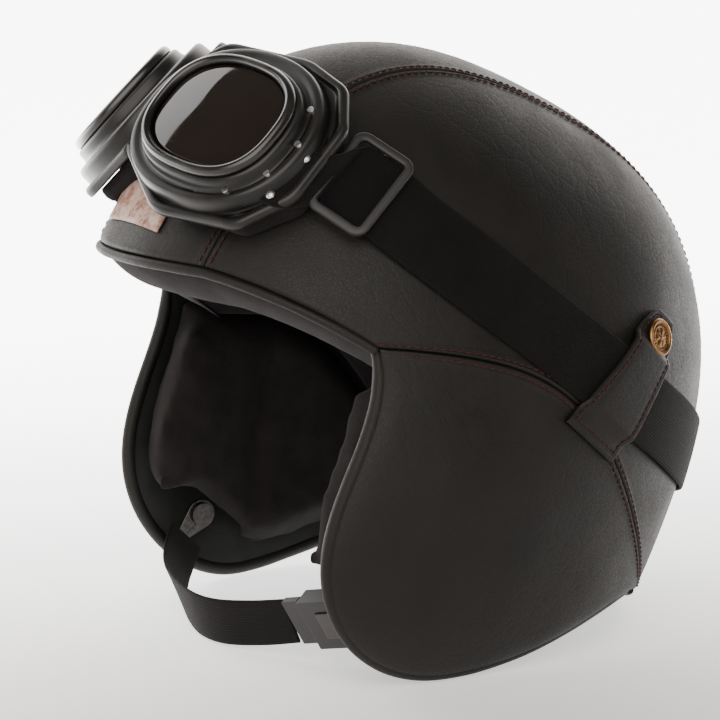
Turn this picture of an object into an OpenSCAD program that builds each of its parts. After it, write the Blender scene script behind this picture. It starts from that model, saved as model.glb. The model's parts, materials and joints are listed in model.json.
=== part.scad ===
// Open-face motorcycle helmet covered in leather, with flying goggles pushed up on its brow.
// It stands on a flat surface as it rests on a table: tilted back on its ear flaps and nape rim.
// +Z up, -Y towards the front of the helmet, +X towards the wearer's left. Millimetres.

/* [Shell] */
// Half width over the leather, at the ears
half_width = 107; // [103:1:111]
// Half length of the crown along its tilted long axis
half_length = 137; // [133:1:141]
// Half height of the crown across its tilted long axis
half_height = 149; // [145:1:153]
// How far the helmet leans back as it stands, in degrees
lean = 25.4; // [24:0.2:27]
// Squareness of the side profile: 2 is an ellipse
squareness = 2.46; // [2.4:0.01:2.5]

/* [Layers] */
// Thickness of the leather
leather_t = 2.2; // [1.6:0.1:2.4]
// Thickness of the moulded shell
shell_t = 3.5; // [3:0.1:3.8]
// Thickness of the expanded foam
foam_t = 18; // [14:1:18]
// Thickness of the crown lining
lining_t = 6.5; // [4:0.5:6.5]
// Radius of the piping round the edges
piping_r = 1.7; // [1.5:0.1:1.8]

/* [Goggles] */
// Half width of each lens
lens_a = 26.5; // [25:0.5:28]
// Half height of each lens
lens_b = 22; // [21:0.5:23]
// Backward tilt of the goggles on the brow, in degrees
goggle_tilt = 43; // [42:0.5:44]
// Wrap of each eyepiece round the brow, in degrees
goggle_wrap = 30; // [29:0.5:31]
// Width of the elastic strap
band_w = 30; // [26:1:30]
// Thickness of the elastic strap
band_t = 1.6; // [1.2:0.1:1.8]

/* [Chin strap] */
// Width of the webbing
web_w = 20; // [18:1:21]
// Thickness of the webbing
web_t = 1.4; // [1.2:0.1:1.6]

/* [Snap tabs] */
// Radius of the brass snap cap
cap_r = 7.5; // [6.5:0.5:8]
// Thickness of the tab leather
tab_t = 2; // [1.6:0.1:2.2]

/* [Hidden] */
$fn = 40;

// The crown's centre, above the floor; every curved layer is drawn about it
centre_y = -14.9;
centre_z = 85.2;
centre = [0, centre_y, centre_z];
// Depths below the leather's outer face; each layer starts a little under the one before it
shell_d = leather_t + 0.4;
foam_d = shell_d + shell_t + 0.5;
lining_d = foam_d + foam_t + 0.5;
inner_d = lining_d + lining_t;
plate_d = shell_d + shell_t + 0.6;
plate_t = 1.5;
pad_d = plate_d + plate_t + 0.7;
// Grid of the curved layers
rows = 24;
side_cols = 6;
centre_cols = 6;
edge_cols = 26;
ear_rings = 5;

// ---- The crown's surface -------------------------------------------------------------
// Flat gauge of a side-view point [y, z]: 1 on the profile that lies d under the leather
function profile(y, z, d) =
    let (u = y * cos(lean) - z * sin(lean), w = y * sin(lean) + z * cos(lean))
    pow(pow(abs(u) / (half_length - d), squareness)
        + pow(abs(w) / (half_height - d), squareness), 1 / squareness);
function gauge(p, d) = norm([p[0] / (half_width - d), profile(p[1], p[2], d)]);
// The point at depth d in the direction p from the crown's centre
function at(p, d) = p / gauge(p, d);
// A side-view point lifted on to the leather, on the wearer's left
function lift(q) = [half_width * sqrt(max(0, 1 - pow(profile(q[0], q[1], 0), 2))), q[0], q[1]];
// Outward normal of the surface at p
function slope(p, e = 0.01) = [for (i = [0:2])
    let (s = [for (k = [0:2]) k == i ? e : 0]) gauge(p + s, 0) - gauge(p - s, 0)];
function unit(v) = v / norm(v);
function normal(p) = unit(slope(p));
function mix(a, b, f) = a + (b - a) * f;
function ease(f) = let (c = min(1, max(0, f))) c * c * (3 - 2 * c);
function bezier(b, t) = pow(1 - t, 3) * b[0] + 3 * t * pow(1 - t, 2) * b[1]
    + 3 * t * t * (1 - t) * b[2] + pow(t, 3) * b[3];
function flip(p) = [-p[0], p[1], p[2]];

// ---- Outlines, in side view about the crown's centre ------------------------------------
front_corner = [-52, 49];
rear_corner = [90, -71];
ear_seam = [front_corner, [36, 39], [36, 16], rear_corner];
ear_front = [front_corner, [-48, 22], [-72.5, -2], [-72.5, -31]];
ear_chin = [[-72.5, -31], [-72.5, -59], [-49, -84], [-20, -84]];
ear_base = [[-20, -84], [18, -84], [58, -63], rear_corner];
ear_middle = [-4, -22];
// The free edge of the ear flap, from the front corner (0) round the chin to the rear (1)
function ear_edge(v) = v < 0.3 ? bezier(ear_front, v / 0.3)
    : v < 0.6 ? bezier(ear_chin, (v - 0.3) / 0.3) : bezier(ear_base, (v - 0.6) / 0.4);
function seam_dir(u) = lift(bezier(ear_seam, u));
// Angles of the brow and nape edges at the centre strip's seam and at the middle
brow_seam_a = 142.5;
brow_mid_a = 145.5;
nape_seam_a = -37.2;
nape_mid_a = -37.1;
corner_front_a = atan2(front_corner[1], front_corner[0]);
corner_rear_a = atan2(rear_corner[1], rear_corner[0]);
function polar_dir(a, b) = [sin(b), cos(b) * cos(a), cos(b) * sin(a)];
function seam_share(u) = let (q = bezier(ear_seam, u))
    (atan2(q[1], q[0]) - corner_rear_a) / (corner_front_a - corner_rear_a);
// Half angle of the centre strip, wider towards the brow
function strip_b(u) = 14 + 6 * ease((seam_share(u) - 0.68) / 0.32);
function strip_a(u) = mix(nape_seam_a, brow_seam_a, seam_share(u));
function middle_a(u) = mix(nape_mid_a, brow_mid_a, seam_share(u));
// A direction on the side panel: f is 0 at the ear seam and 1 at the centre strip
function side_dir(u, f) = f == 0 ? seam_dir(u) :
    let (s = seam_dir(u), a = atan2(s[2], s[1]), b = atan2(s[0], norm([s[1], s[2]])))
    polar_dir(mix(a, strip_a(u), f), mix(b, strip_b(u), f));
// A direction on the centre strip: f runs from -1, right, to 1, left
function centre_dir(u, f) =
    polar_dir(mix(middle_a(u), strip_a(u), f * f), f * strip_b(u));
// One row of directions right across the crown, from ear seam to ear seam
function crown_row(u) = concat(
    [for (i = [0:side_cols]) flip(side_dir(u, i / side_cols))],
    [for (i = [1:centre_cols - 1]) centre_dir(u, 2 * i / centre_cols - 1)],
    [for (i = [side_cols:-1:0]) side_dir(u, i / side_cols)]);
// A direction on the ear flap: f is 0 in the middle and 1 on the outline
function ear_dir(q, f) = lift(mix(ear_middle, q, f));
seam_points = [for (i = [0:rows]) bezier(ear_seam, i / rows)];
edge_points = [for (i = [edge_cols - 1:-1:1]) ear_edge(i / edge_cols)];
ear_outline = concat(seam_points, edge_points);

// ---- Closed solids from grids of points --------------------------------------------------
function flat_list(grid) = [for (row = grid) each row];
function grid_faces(m, n, base, up, wrap = false) = [
    for (i = [0:m - 2], j = [0:n - (wrap ? 1 : 2)])
        let (k = (j + 1) % n, a = base + i * n + j, b = base + i * n + k,
             c = base + (i + 1) * n + k, d = base + (i + 1) * n + j)
        each up ? [[a, b, c], [a, c, d]] : [[a, c, b], [a, d, c]]];
// Walls between two loops of point numbers
function wall_faces(outer, inner, wrap = true) = [
    for (i = [0:len(outer) - (wrap ? 1 : 2)]) let (k = (i + 1) % len(outer))
        each [[outer[i], inner[i], inner[k]], [outer[i], inner[k], outer[k]]]];
function rim_loop(m, n) = concat([for (j = [0:n - 1]) j], [for (i = [1:m - 1]) i * n + n - 1],
    [for (j = [n - 2:-1:0]) (m - 1) * n + j], [for (i = [m - 2:-1:1]) i * n]);
// A sheet between two grids of the same size; top is the outer face
module slab(top, under) {
    m = len(top);
    n = len(top[0]);
    rim = rim_loop(m, n);
    polyhedron(concat(flat_list(top), flat_list(under)),
        concat(grid_faces(m, n, 0, true), grid_faces(m, n, m * n, false),
            wall_faces(rim, [for (k = rim) k + m * n])));
}
// A disc of rings about a middle point, between two grids of the same size
module disc(top, under, top_mid, under_mid) {
    m = len(top);
    n = len(top[0]);
    last = (m - 1) * n;
    polyhedron(concat(flat_list(top), flat_list(under), [top_mid, under_mid]),
        concat(grid_faces(m, n, 0, true, true), grid_faces(m, n, m * n, false, true),
            [for (j = [0:n - 1]) [j, 2 * m * n, (j + 1) % n]],
            [for (j = [0:n - 1]) [m * n + j, m * n + (j + 1) % n, 2 * m * n + 1]],
            wall_faces([for (j = [n - 1:-1:0]) last + j], [for (j = [n - 1:-1:0]) m * n + last + j])));
}
// A tube through rings of points, closed at both ends
module tube(rings) {
    m = len(rings);
    n = len(rings[0]);
    polyhedron(flat_list(rings),
        concat(grid_faces(m, n, 0, true, true),
            [for (j = [1:n - 2]) [0, j + 1, j]],
            [for (j = [1:n - 2]) (m - 1) * n * [1, 1, 1] + [0, j, j + 1]]));
}
function tangent(path, i) = unit(path[min(i + 1, len(path) - 1)] - path[max(i - 1, 0)]);
function on_floor(p) = [p[0], p[1], max(p[2], -centre_z)];
function ring_at(path, i, r, sides) =
    let (t = tangent(path, i), n = unit(path[i] - (path[i] * t) * t), b = cross(t, n))
    [for (k = [0:sides - 1]) let (w = 360 * k / sides)
        on_floor(path[i] + r * (cos(w) * n + sin(w) * b))];
module piping(path) {
    color([0.10, 0.10, 0.10]) place()
        tube([for (i = [0:len(path) - 1]) ring_at(path, i, piping_r, 8)]);
}
module place() {
    translate(centre) children();
}
module pair(left) {
    if (left) children();
    else mirror([1, 0, 0]) children();
}
function layer(grid, d) = [for (row = grid) [for (p = row) at(p, d)]];

// ---- Shell, foam and linings -------------------------------------------------------------
crown_grid = [for (i = [0:rows]) crown_row(i / rows)];
ear_grid = [for (k = [1:ear_rings]) [for (j = [0:len(ear_outline) - 1])
    k == ear_rings && j <= rows ? seam_dir(j / rows) : ear_dir(ear_outline[j], k / ear_rings)]];
function flip_grid(grid) = [for (row = grid) [for (p = row) flip(p)]];

// One moulding: the crown and both ears share their seam points
module shell() {
    m = len(crown_grid);
    n = len(crown_grid[0]);
    e = len(ear_outline);
    body = m * n;
    ear = ear_rings * e + 1;
    half = body + 2 * ear;
    function skin(d) = concat(flat_list(layer(crown_grid, d)),
        flat_list(layer(ear_grid, d)), [at(ear_dir(ear_middle, 0), d)],
        flat_list(layer(flip_grid(ear_grid), d)), [at(flip(ear_dir(ear_middle, 0)), d)]);
    function ear_faces(base, up) = concat(grid_faces(ear_rings, e, base, up, true),
        [for (j = [0:e - 1]) let (k = (j + 1) % e, c = base + ear - 1)
            up ? [base + j, c, base + k] : [base + j, base + k, c]]);
    left = body + (ear_rings - 1) * e;
    right = body + ear + (ear_rings - 1) * e;
    free = [for (i = [rows + 1:e - 1]) i];
    rim = concat([for (j = [0:n - 1]) j], [for (i = [e - 1:-1:rows + 1]) left + i],
        [for (j = [n - 1:-1:0]) (m - 1) * n + j], [for (i = free) right + i]);
    color([0.16, 0.16, 0.17]) place()
        polyhedron(concat(skin(shell_d), skin(shell_d + shell_t)),
            concat(grid_faces(m, n, 0, true), grid_faces(m, n, half, false),
                ear_faces(body, true), ear_faces(half + body, false),
                ear_faces(body + ear, false), ear_faces(half + body + ear, true),
                wall_faces(rim, [for (k = rim) k + half])));
}
// The crown's grid, kept a little inside the ear seams
function inner_crown(keep) = [for (i = [0:rows]) let (u = i / rows) concat(
    [for (k = [0:side_cols]) flip(side_dir(u, mix(keep, 1, k / side_cols)))],
    [for (k = [1:centre_cols - 1]) centre_dir(u, 2 * k / centre_cols - 1)],
    [for (k = [side_cols:-1:0]) side_dir(u, mix(keep, 1, k / side_cols))])];
module foam_liner() {
    grid = inner_crown(0.03);
    color([0.25, 0.25, 0.26]) place() slab(layer(grid, foam_d), layer(grid, foam_d + foam_t));
}
module crown_lining() {
    grid = inner_crown(0.03);
    color([0.07, 0.07, 0.08]) place() slab(layer(grid, lining_d), layer(grid, inner_d));
}
// Turns a direction about the side-to-side axis: positive moves the brow edge downwards
function turn(p, a) = [p[0], p[1] * cos(a) - p[2] * sin(a), p[1] * sin(a) + p[2] * cos(a)];
// A band that closes the end of the layers, from depth d0 to depth d1
module end_band(row, near_a, far_a, d0, d1) {
    steps = 4;
    function face(a) = [for (k = [0:steps]) [for (p = row) at(turn(p, a), mix(d0, d1, k / steps))]];
    color([0.09, 0.09, 0.10]) place() slab(face(near_a), face(far_a));
}
lining_edge_d = shell_d + shell_t - 0.2;
module brow_lining() {
    end_band(crown_row(0), 0.35, 1.3, lining_edge_d, inner_d);
}
module nape_lining() {
    end_band([for (i = [len(crown_row(1)) - 1:-1:0]) crown_row(1)[i]], -0.35, -1.3, lining_edge_d, inner_d);
}

// ---- Leather ---------------------------------------------------------------------------
seam_gap = 0.012;
module leather(grid) {
    color([0.13, 0.125, 0.12]) place() slab(layer(grid, 0), layer(grid, leather_t));
}
module leather_center() {
    leather([for (i = [0:rows]) [for (k = [0:centre_cols])
        centre_dir(i / rows, (2 * k / centre_cols - 1) * 0.99)]]);
}
module leather_side(left) {
    pair(left) leather([for (i = [0:rows]) [for (k = [side_cols:-1:0])
        side_dir(i / rows, mix(0.008, 1 - seam_gap, k / side_cols))]]);
}
module leather_side_left() {
    leather_side(true);
}
module leather_side_right() {
    leather_side(false);
}
// An ear-shaped disc scaled by reach, from depth d0 to a depth given for each ring
module ear_disc(left, reach, d0, d1, rings = ear_rings) {
    grid = [for (k = [1:rings]) [for (q = ear_outline) ear_dir(q, reach * k / rings)]];
    pair(left) place() disc(layer(grid, d0), layer(grid, d1),
        at(ear_dir(ear_middle, 0), d0), at(ear_dir(ear_middle, 0), d1));
}
module ear_leather(left) {
    color([0.12, 0.115, 0.11]) ear_disc(left, 0.992, 0, leather_t);
}
module ear_leather_left() {
    ear_leather(true);
}
module ear_leather_right() {
    ear_leather(false);
}
piping_d = 2.3;
// How far the piping's middle lies beyond the edges that it covers
piping_out = piping_r + 0.45;
function past_edge(p, side) = let (q = at(p, 0))
    at(turn(p, side * piping_out / norm([q[1], q[2]]) * 180 / PI), piping_d);
module brow_piping() {
    row = crown_row(0);
    piping([for (i = [1:len(row) - 2]) past_edge(row[i], 1)]);
}
module nape_piping() {
    row = crown_row(1);
    piping([for (i = [1:len(row) - 2]) past_edge(row[i], -1)]);
}
function past_ear(v) = let (t = unit(ear_edge(v + 0.005) - ear_edge(v - 0.005)))
    ear_edge(v) + [t[1], -t[0]] * piping_out;
module ear_piping(left) {
    steps = 3 * edge_cols;
    pair(left) piping([for (i = [2:steps - 2]) at(lift(past_ear(i / steps)), piping_d)]);
}
module ear_piping_left() {
    ear_piping(true);
}
module ear_piping_right() {
    ear_piping(false);
}
// A plain leather patch on the brow between the eyepieces
module brow_patch() {
    patch_t = 1.2;
    grid = [for (a = [141:-3:129]) [for (b = [-9:3:9]) polar_dir(a, b)]];
    color([0.62, 0.38, 0.28]) place() slab(layer(grid, -0.4 - patch_t), layer(grid, -0.4));
}

// ---- Cheek pads ---------------------------------------------------------------------------
module cheek_plate(left) {
    color([0.20, 0.20, 0.21]) ear_disc(left, 0.55, plate_d, plate_d + plate_t, 2);
}
module cheek_plate_left() {
    cheek_plate(true);
}
module cheek_plate_right() {
    cheek_plate(false);
}
pad_inner_d = 32;
// Chin strap rivet on the wearer's left; its height is above the floor
anchor = [82, -40 + centre_y, 31];
// Room for the chin strap's end: the pad is thinner and shorter low down in front
anchor_q = [anchor[1] - centre_y, anchor[2] - centre_z];
function pocket(q) = 1 - ease((norm(q - anchor_q) - 22) / 14);
module cheek_pad(left) {
    function reach(q) = 0.985 - 0.2 * (1 - ease((norm(q - [-56, -76]) - 12) / 24));
    function spot(q, k) = mix(ear_middle, q, reach(q) * k / ear_rings);
    function back(q, k) = at(lift(spot(q, k)), pad_d + 11 * pocket(spot(q, k)));
    // In front, above the chin strap, the wall runs straight inwards from the ear's edge
    function forward(q) = ease((-30 - q[0]) / 18) * ease((q[1] + 52) / 14) * ease((46 - q[1]) / 16);
    function straight(s, x) = [x, 0.975 * s[0], 0.975 * s[1]];
    function front(q, k) =
        let (s = spot(q, k), p = at(lift(s), pad_inner_d - (k == ear_rings ? 5 : 0)))
        mix(p, straight(s, p[0] - 3), forward(q) * pow(k / ear_rings, 2));
    color([0.06, 0.06, 0.07]) pair(left) place() disc(
        [for (k = [1:ear_rings]) [for (q = ear_outline) back(q, k)]],
        [for (k = [1:ear_rings]) [for (q = ear_outline) front(q, k)]],
        back(ear_middle, 0), front(ear_middle, 0));
}
module cheek_pad_left() {
    cheek_pad(true);
}
module cheek_pad_right() {
    cheek_pad(false);
}

// ---- Snap tabs that hold the goggle band at the back -----------------------------------------
// Side-view places about the crown's centre
tab_base = [38.6, 11.3];
tab_run = [35, 29.2];
tab_across = unit([24.2, -20]);
tab_base_w = 15;
tab_end_w = 11.5;
tab_steps = 10;
tab_end_s = 1.24;
snap_share = 1;
band_lift = 0.7;
// How far the tab stands off the leather: low at both ends, over the band between them
function tab_lift(s) = 0.5 + (band_lift + band_t + 0.2) * ease(s / 0.09) * (1 - ease((s - 0.80) / 0.14));
function tab_half(s) = s < 0.85 ? mix(tab_base_w, tab_end_w, ease(s / 0.8))
    : tab_end_w * sqrt(max(0.08, 1 - pow((s - 0.85) / 0.42, 2)));
function tab_spot(s, w) = lift(tab_base + tab_run * s + tab_across * w * tab_half(s));
module tab_strip(rows_s) {
    across = [-1, -0.5, 0, 0.5, 1];
    slab([for (s = rows_s) [for (w = across) at(tab_spot(s, w), -tab_lift(s) - tab_t)]],
        [for (s = rows_s) [for (w = across) at(tab_spot(s, w), -tab_lift(s))]]);
}
module tab_anchor(left) {
    color([0.11, 0.105, 0.10]) pair(left) place() tab_strip([-0.17, -0.11, -0.06]);
}
module snap_tab(left) {
    color([0.11, 0.105, 0.10]) pair(left) place() difference() {
        tab_strip(concat([0, 0.045, 0.085], [for (i = [1:tab_steps]) tab_end_s * i / tab_steps]));
        on_snap() translate([0, 0, -4]) cylinder(r = snap_hole_r, h = 12);
    }
}
module tab_anchor_left() {
    tab_anchor(true);
}
module tab_anchor_right() {
    tab_anchor(false);
}
module snap_tab_left() {
    snap_tab(true);
}
module snap_tab_right() {
    snap_tab(false);
}
// Puts children on the leather under the snap, with +Z outwards
snap_hole_r = 2.4;
module on_frame(p, n, along) {
    x = unit(along - (along * n) * n);
    y = cross(n, x);
    multmatrix([[x[0], y[0], n[0], p[0]], [x[1], y[1], n[1], p[1]], [x[2], y[2], n[2], p[2]],
        [0, 0, 0, 1]]) children();
}
module on_snap() {
    p = at(tab_spot(snap_share, 0), 0);
    on_frame(p, normal(p), [0, 1, 0]) children();
}
snap_top = tab_lift(1) + tab_t;
// Cap with a rolled rim, and the post that clinches it through the tab on to the socket
post_h = 2.55;
module snap_cap(left) {
    color([0.72, 0.50, 0.24]) pair(left) place() on_snap() translate([0, 0, snap_top + 0.35])
        rotate_extrude() polygon([[0, -post_h], [2.2, -post_h], [2.2, 0], [cap_r, 0], [cap_r, 1.4],
            [cap_r - 0.6, 2], [cap_r - 1.4, 1.9], [cap_r - 2, 1.1], [0, 1.6]]);
}
module snap_cap_left() {
    snap_cap(true);
}
module snap_cap_right() {
    snap_cap(false);
}
// Stud on the shell; its head sits inside the socket
stud_head_r = 1.6;
socket_r = 3.8;
module snap_stud(left) {
    color([0.70, 0.52, 0.28]) pair(left) place() on_snap() rotate_extrude()
        polygon([[0, -4], [1.2, -4], [1.2, -1.3], [0.9, -0.9], [0.9, -0.6], [stud_head_r, -0.4],
            [stud_head_r, -0.15], [1.2, 0.1], [0, 0.1]]);
}
module snap_stud_left() {
    snap_stud(true);
}
module snap_stud_right() {
    snap_stud(false);
}
module snap_socket(left) {
    color([0.66, 0.50, 0.28]) pair(left) place() on_snap() translate([0, 0, 0.15])
        rotate_extrude() polygon([[stud_head_r + 0.3, 0], [socket_r, 0], [socket_r, 0.2], [0, 0.2],
            [0, 0.1], [stud_head_r + 0.3, 0.1]]);
}
module snap_socket_left() {
    snap_socket(true);
}
module snap_socket_right() {
    snap_socket(false);
}

// ---- Goggle band ----------------------------------------------------------------------------
// Height of the band's middle line in side view
function band_z(y) = 63.5 - 0.80 * y + 0.0009 * y * y;
// Distance from the upright axis to the leather at azimuth a, measured from the back
function band_rho(a, lo = 60, hi = 180, n = 22) = n == 0 ? (lo + hi) / 2 :
    let (m = (lo + hi) / 2)
    gauge([m * sin(a), m * cos(a), band_z(m * cos(a))], 0) < 1
        ? band_rho(a, m, hi, n - 1) : band_rho(a, lo, m, n - 1);
function band_mid(a) = let (r = band_rho(a)) [r * sin(a), r * cos(a), band_z(r * cos(a))];
function band_along(a) = unit(band_mid(a + 0.5) - band_mid(a - 0.5));
// Extra stand-off where the band passes through the slider
slider_a = 124;
function band_rise(a) = band_lift + 2.2 * exp(-pow((a - slider_a) / 11, 2));
function band_spot(a, w) = let (p = band_mid(a), t = band_along(a)) p + cross(normal(p), t) * w;
module band(a0, a1, steps) {
    across = [1, 0.5, 0, -0.5, -1] * band_w / 2;
    list = [for (i = [0:steps]) mix(a0, a1, i / steps)];
    color([0.08, 0.08, 0.085]) place()
        slab([for (a = list) [for (w = across) at(band_spot(a, w), -band_rise(a) - band_t)]],
            [for (a = list) [for (w = across) at(band_spot(a, w), -band_rise(a))]]);
}
band_tab_a = 57;
band_front_a = 134;
module band_rear() {
    band(-band_tab_a, band_tab_a, 20);
}
module band_left() {
    band(band_tab_a + 0.5, band_front_a, 15);
}
module band_right() {
    mirror([1, 0, 0]) band_left();
}
// Rectangular slider: a raised frame over the band and a bar under it
slider_across = 38;
slider_along = 26;
module on_slider() {
    p = band_mid(slider_a);
    on_frame(p, normal(p), band_along(slider_a)) children();
}
module rounded(a, b, r) {
    hull() for (x = [-1, 1], y = [-1, 1]) translate([x * (a / 2 - r), y * (b / 2 - r)])
        circle(r = r, $fn = 24);
}
module band_slider(left) {
    top = band_rise(slider_a) + band_t + 0.9;
    color([0.11, 0.11, 0.115]) pair(left) place() on_slider() {
        translate([0, 0, top]) linear_extrude(2.6) difference() {
            rounded(slider_along, slider_across, 4);
            rounded(slider_along - 7, slider_across - 8, 2);
        }
        for (s = [-1, 1]) translate([-2, s * (slider_across / 2 - 1.6) - 1.1, 0.8])
            cube([4, 2.2, top - 0.1]);
        translate([-2, -slider_across / 2 + 1, 0.8]) cube([4, slider_across - 2, 0.8]);
    }
}
module band_slider_left() {
    band_slider(true);
}
module band_slider_right() {
    band_slider(false);
}

// ---- Goggles --------------------------------------------------------------------------------
// Middle of the left lens about the crown's centre, and the eyepiece's roll in its own plane
eye = [41.8, -90.5, 131];
eye_roll = -17;
// The moulding steps down from the rim to a flange; its middle is off the lens's middle
flange_a = 48;
flange_b = 42;
flange_mid = [-4, 2.5];
flange_z = -17;
module on_eye(left) {
    pair(left) translate(centre + eye) rotate([90 - goggle_tilt, 0, goggle_wrap])
        rotate([0, 0, eye_roll]) children();
}
function oval(a, b, e, n = 48) = [for (i = [0:n - 1]) let (w = 360 * i / n)
    [a * sign(cos(w)) * pow(abs(cos(w)), 2 / e), b * sign(sin(w)) * pow(abs(sin(w)), 2 / e)]];
module tier(z0, z1, a, b, e, mid = [0, 0]) {
    translate([mid[0], mid[1], z0]) linear_extrude(z1 - z0) polygon(oval(a, b, e));
}
module left_half() {
    translate([0, -300, 0]) cube([300, 600, 600]);
}
module goggle_half(left) {
    difference() {
        intersection() {
            pair(left) left_half();
            on_eye(left) union() {
                tier(flange_z, -12, flange_a, flange_b, 2.1, flange_mid);
                tier(-12, -6, 40, 35, 2.2, flange_mid * 0.5);
                tier(-6, -1, lens_a + 6, lens_b + 6, 2.4);
            }
        }
        on_eye(left) tier(flange_z - 1, 1, lens_a - 2, lens_b - 2, 2.5);
        on_eye(left) tier(-3, 1, lens_a + 0.8, lens_b + 0.8, 2.5);
    }
}
module goggle_frame() {
    color([0.10, 0.10, 0.105]) union() {
        goggle_half(true);
        goggle_half(false);
    }
}
// Rivets on the step below the rim, at these angles round the lens
rivet_angles = [-52, -24, 4, 32];
module goggle_rivets() {
    color([0.55, 0.55, 0.56]) for (left = [true, false], w = rivet_angles) on_eye(left)
        translate([37 * cos(w) - 2, 32 * sin(w) + 1.2, -8]) cylinder(r = 1.3, h = 3);
}
module lens_rim(left) {
    color([0.09, 0.09, 0.09]) on_eye(left) difference() {
        tier(-0.8, 3, lens_a + 4.2, lens_b + 4.2, 2.5);
        tier(-2, 4, lens_a - 0.6, lens_b - 0.6, 2.5);
    }
}
module lens_rim_left() {
    lens_rim(true);
}
module lens_rim_right() {
    lens_rim(false);
}
module lens(left) {
    color([0.22, 0.18, 0.15]) on_eye(left) tier(-2.8, -1.0, lens_a + 0.5, lens_b + 0.5, 2.5);
}
module lens_left() {
    lens(true);
}
module lens_right() {
    lens(false);
}
// Ring of foam behind each eyepiece: how far inside the flange it starts, and its width
foam_inset = 6.5;
foam_ring_w = 7;
foam_ring_t = 4.9;
module face_foam(left) {
    top = flange_z - 0.3;
    hole = foam_inset + foam_ring_w;
    color([0.07, 0.07, 0.07]) difference() {
        intersection() {
            pair(left) translate([0.8, 0, 0]) left_half();
            on_eye(left) tier(top - foam_ring_t, top, flange_a - foam_inset, flange_b - foam_inset,
                2.1, flange_mid);
        }
        on_eye(left) tier(top - foam_ring_t - 1, top + 1, flange_a - hole, flange_b - hole, 2.1, flange_mid);
    }
}
module face_foam_left() {
    face_foam(true);
}
module face_foam_right() {
    face_foam(false);
}

// ---- Chin strap -------------------------------------------------------------------------------
// Heights here are above the floor. The rivets are the strap's swing axis.
rivet_r = 2.5;
module chin_rivets() {
    color([0.60, 0.60, 0.61]) for (left = [true, false]) pair(left) translate(anchor)
        rotate([0, 90, 0]) {
            translate([0, 0, -3.4]) cylinder(r = 5, h = 1.6);
            translate([0, 0, -2]) cylinder(r = rivet_r, h = 10);
            translate([0, 0, 0.6]) cylinder(r = 4.2, h = 2);
        }
}
// The webbing's middle line, from the wearer's right to the left
web_path = [[-80.5, -48, 22], [-76, -53, 17], [-66, -60, 13.5], [-50, -68, 11.2], [-30, -74, 10.2],
    [-10, -77, 10.1], [6, -74.4, 10.8], [22, -66.4, 13.3], [36, -58.7, 16.7]];
web_path_left = [[70, -44.4, 25.4], [73.5, -43.5, 26], [77, -42.6, 26.6]];
web_shift = [0, centre_y + 0.5, 0];
function curve_at(path, i, f) =
    let (n = len(path) - 1, a = path[max(i - 1, 0)], b = path[i], c = path[min(i + 1, n)],
         d = path[min(i + 2, n)])
    0.5 * (2 * b + (c - a) * f + (2 * a - 5 * b + 4 * c - d) * f * f
        + (3 * b - a - 3 * c + d) * f * f * f);
function smooth(path, k) = concat([for (i = [0:len(path) - 2], j = [0:k - 1])
    curve_at(path, i, j / k)], [path[len(path) - 1]]);
// The webbing's width leans forwards more towards its ends
function web_lean(p) = [0, -0.24 - 0.66 * pow(p[0] / 80, 2), 1];
function web_ring(path, i) =
    let (t = tangent(path, i), l = web_lean(path[i]), w = unit(l - (l * t) * t), n = cross(t, w))
    [for (c = [[1, 1], [1, -1], [-1, -1], [-1, 1]])
        path[i] + w * c[0] * web_w / 2 + n * c[1] * web_t / 2];
module webbing(path) {
    color([0.10, 0.10, 0.105]) translate(web_shift)
        tube([for (i = [0:len(path) - 1]) web_ring(path, i)]);
}
module chin_web_right() {
    webbing(smooth(web_path, 3));
}
module chin_web_left() {
    webbing(smooth(web_path_left, 2));
}
// Steel end plates that swing on the rivets
module strap_end(left) {
    color([0.58, 0.58, 0.60]) pair(left) difference() {
        hull() {
            translate(anchor) rotate([0, 90, 0]) translate([0, 0, -1.7]) cylinder(r = 6.5, h = 1.3);
            translate([anchor[0] - 1.7, anchor[1] - 9, anchor[2] - 8]) rotate([38, 0, 0])
                translate([0, -5, -2]) cube([1.3, 13, 3]);
        }
        translate(anchor) rotate([0, 90, 0]) translate([0, 0, -4]) cylinder(r = rivet_r + 0.08, h = 8);
    }
}
module strap_end_left() {
    strap_end(true);
}
module strap_end_right() {
    strap_end(false);
}
// Quick-release buckle on the wearer's left, drawn along its own +X, towards the left rivet
buckle_from = [36.6, -58.3, 16.8] + web_shift;
buckle_to = [69.4, -44.1, 25.3] + web_shift;
buckle_w = 23;
buckle_t = 8.5;
module on_buckle() {
    t = unit(buckle_to - buckle_from);
    l = web_lean((buckle_to + buckle_from) / 2 - web_shift);
    w = unit(l - (l * t) * t);
    n = cross(t, w);
    multmatrix([[t[0], w[0], n[0], buckle_from[0]], [t[1], w[1], n[1], buckle_from[1]],
        [t[2], w[2], n[2], buckle_from[2]], [0, 0, 0, 1]]) children();
}
buckle_l = norm(buckle_to - buckle_from);
tongue_slot_w = 15;
module buckle_housing() {
    color([0.12, 0.12, 0.125]) on_buckle() difference() {
        translate([10, -buckle_w / 2, -buckle_t / 2]) cube([buckle_l - 10.5, buckle_w, buckle_t]);
        translate([9, -tongue_slot_w / 2 - 0.3, -1.3]) cube([18, tongue_slot_w + 0.6, 2.6]);
        translate([17, -6.3, 1]) cube([9.6, 12.6, buckle_t]);
    }
}
module buckle_tongue() {
    color([0.62, 0.62, 0.63]) on_buckle() {
        translate([8, -tongue_slot_w / 2, -1]) cube([16, tongue_slot_w, 2]);
        translate([0.6, -buckle_w / 2 + 1, -1.6]) cube([8, buckle_w - 2, 3.2]);
    }
}
module release_button() {
    color([0.55, 0.10, 0.08]) on_buckle() translate([17.3, -6, 2.7]) cube([9, 12, 2.3]);
}

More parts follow.
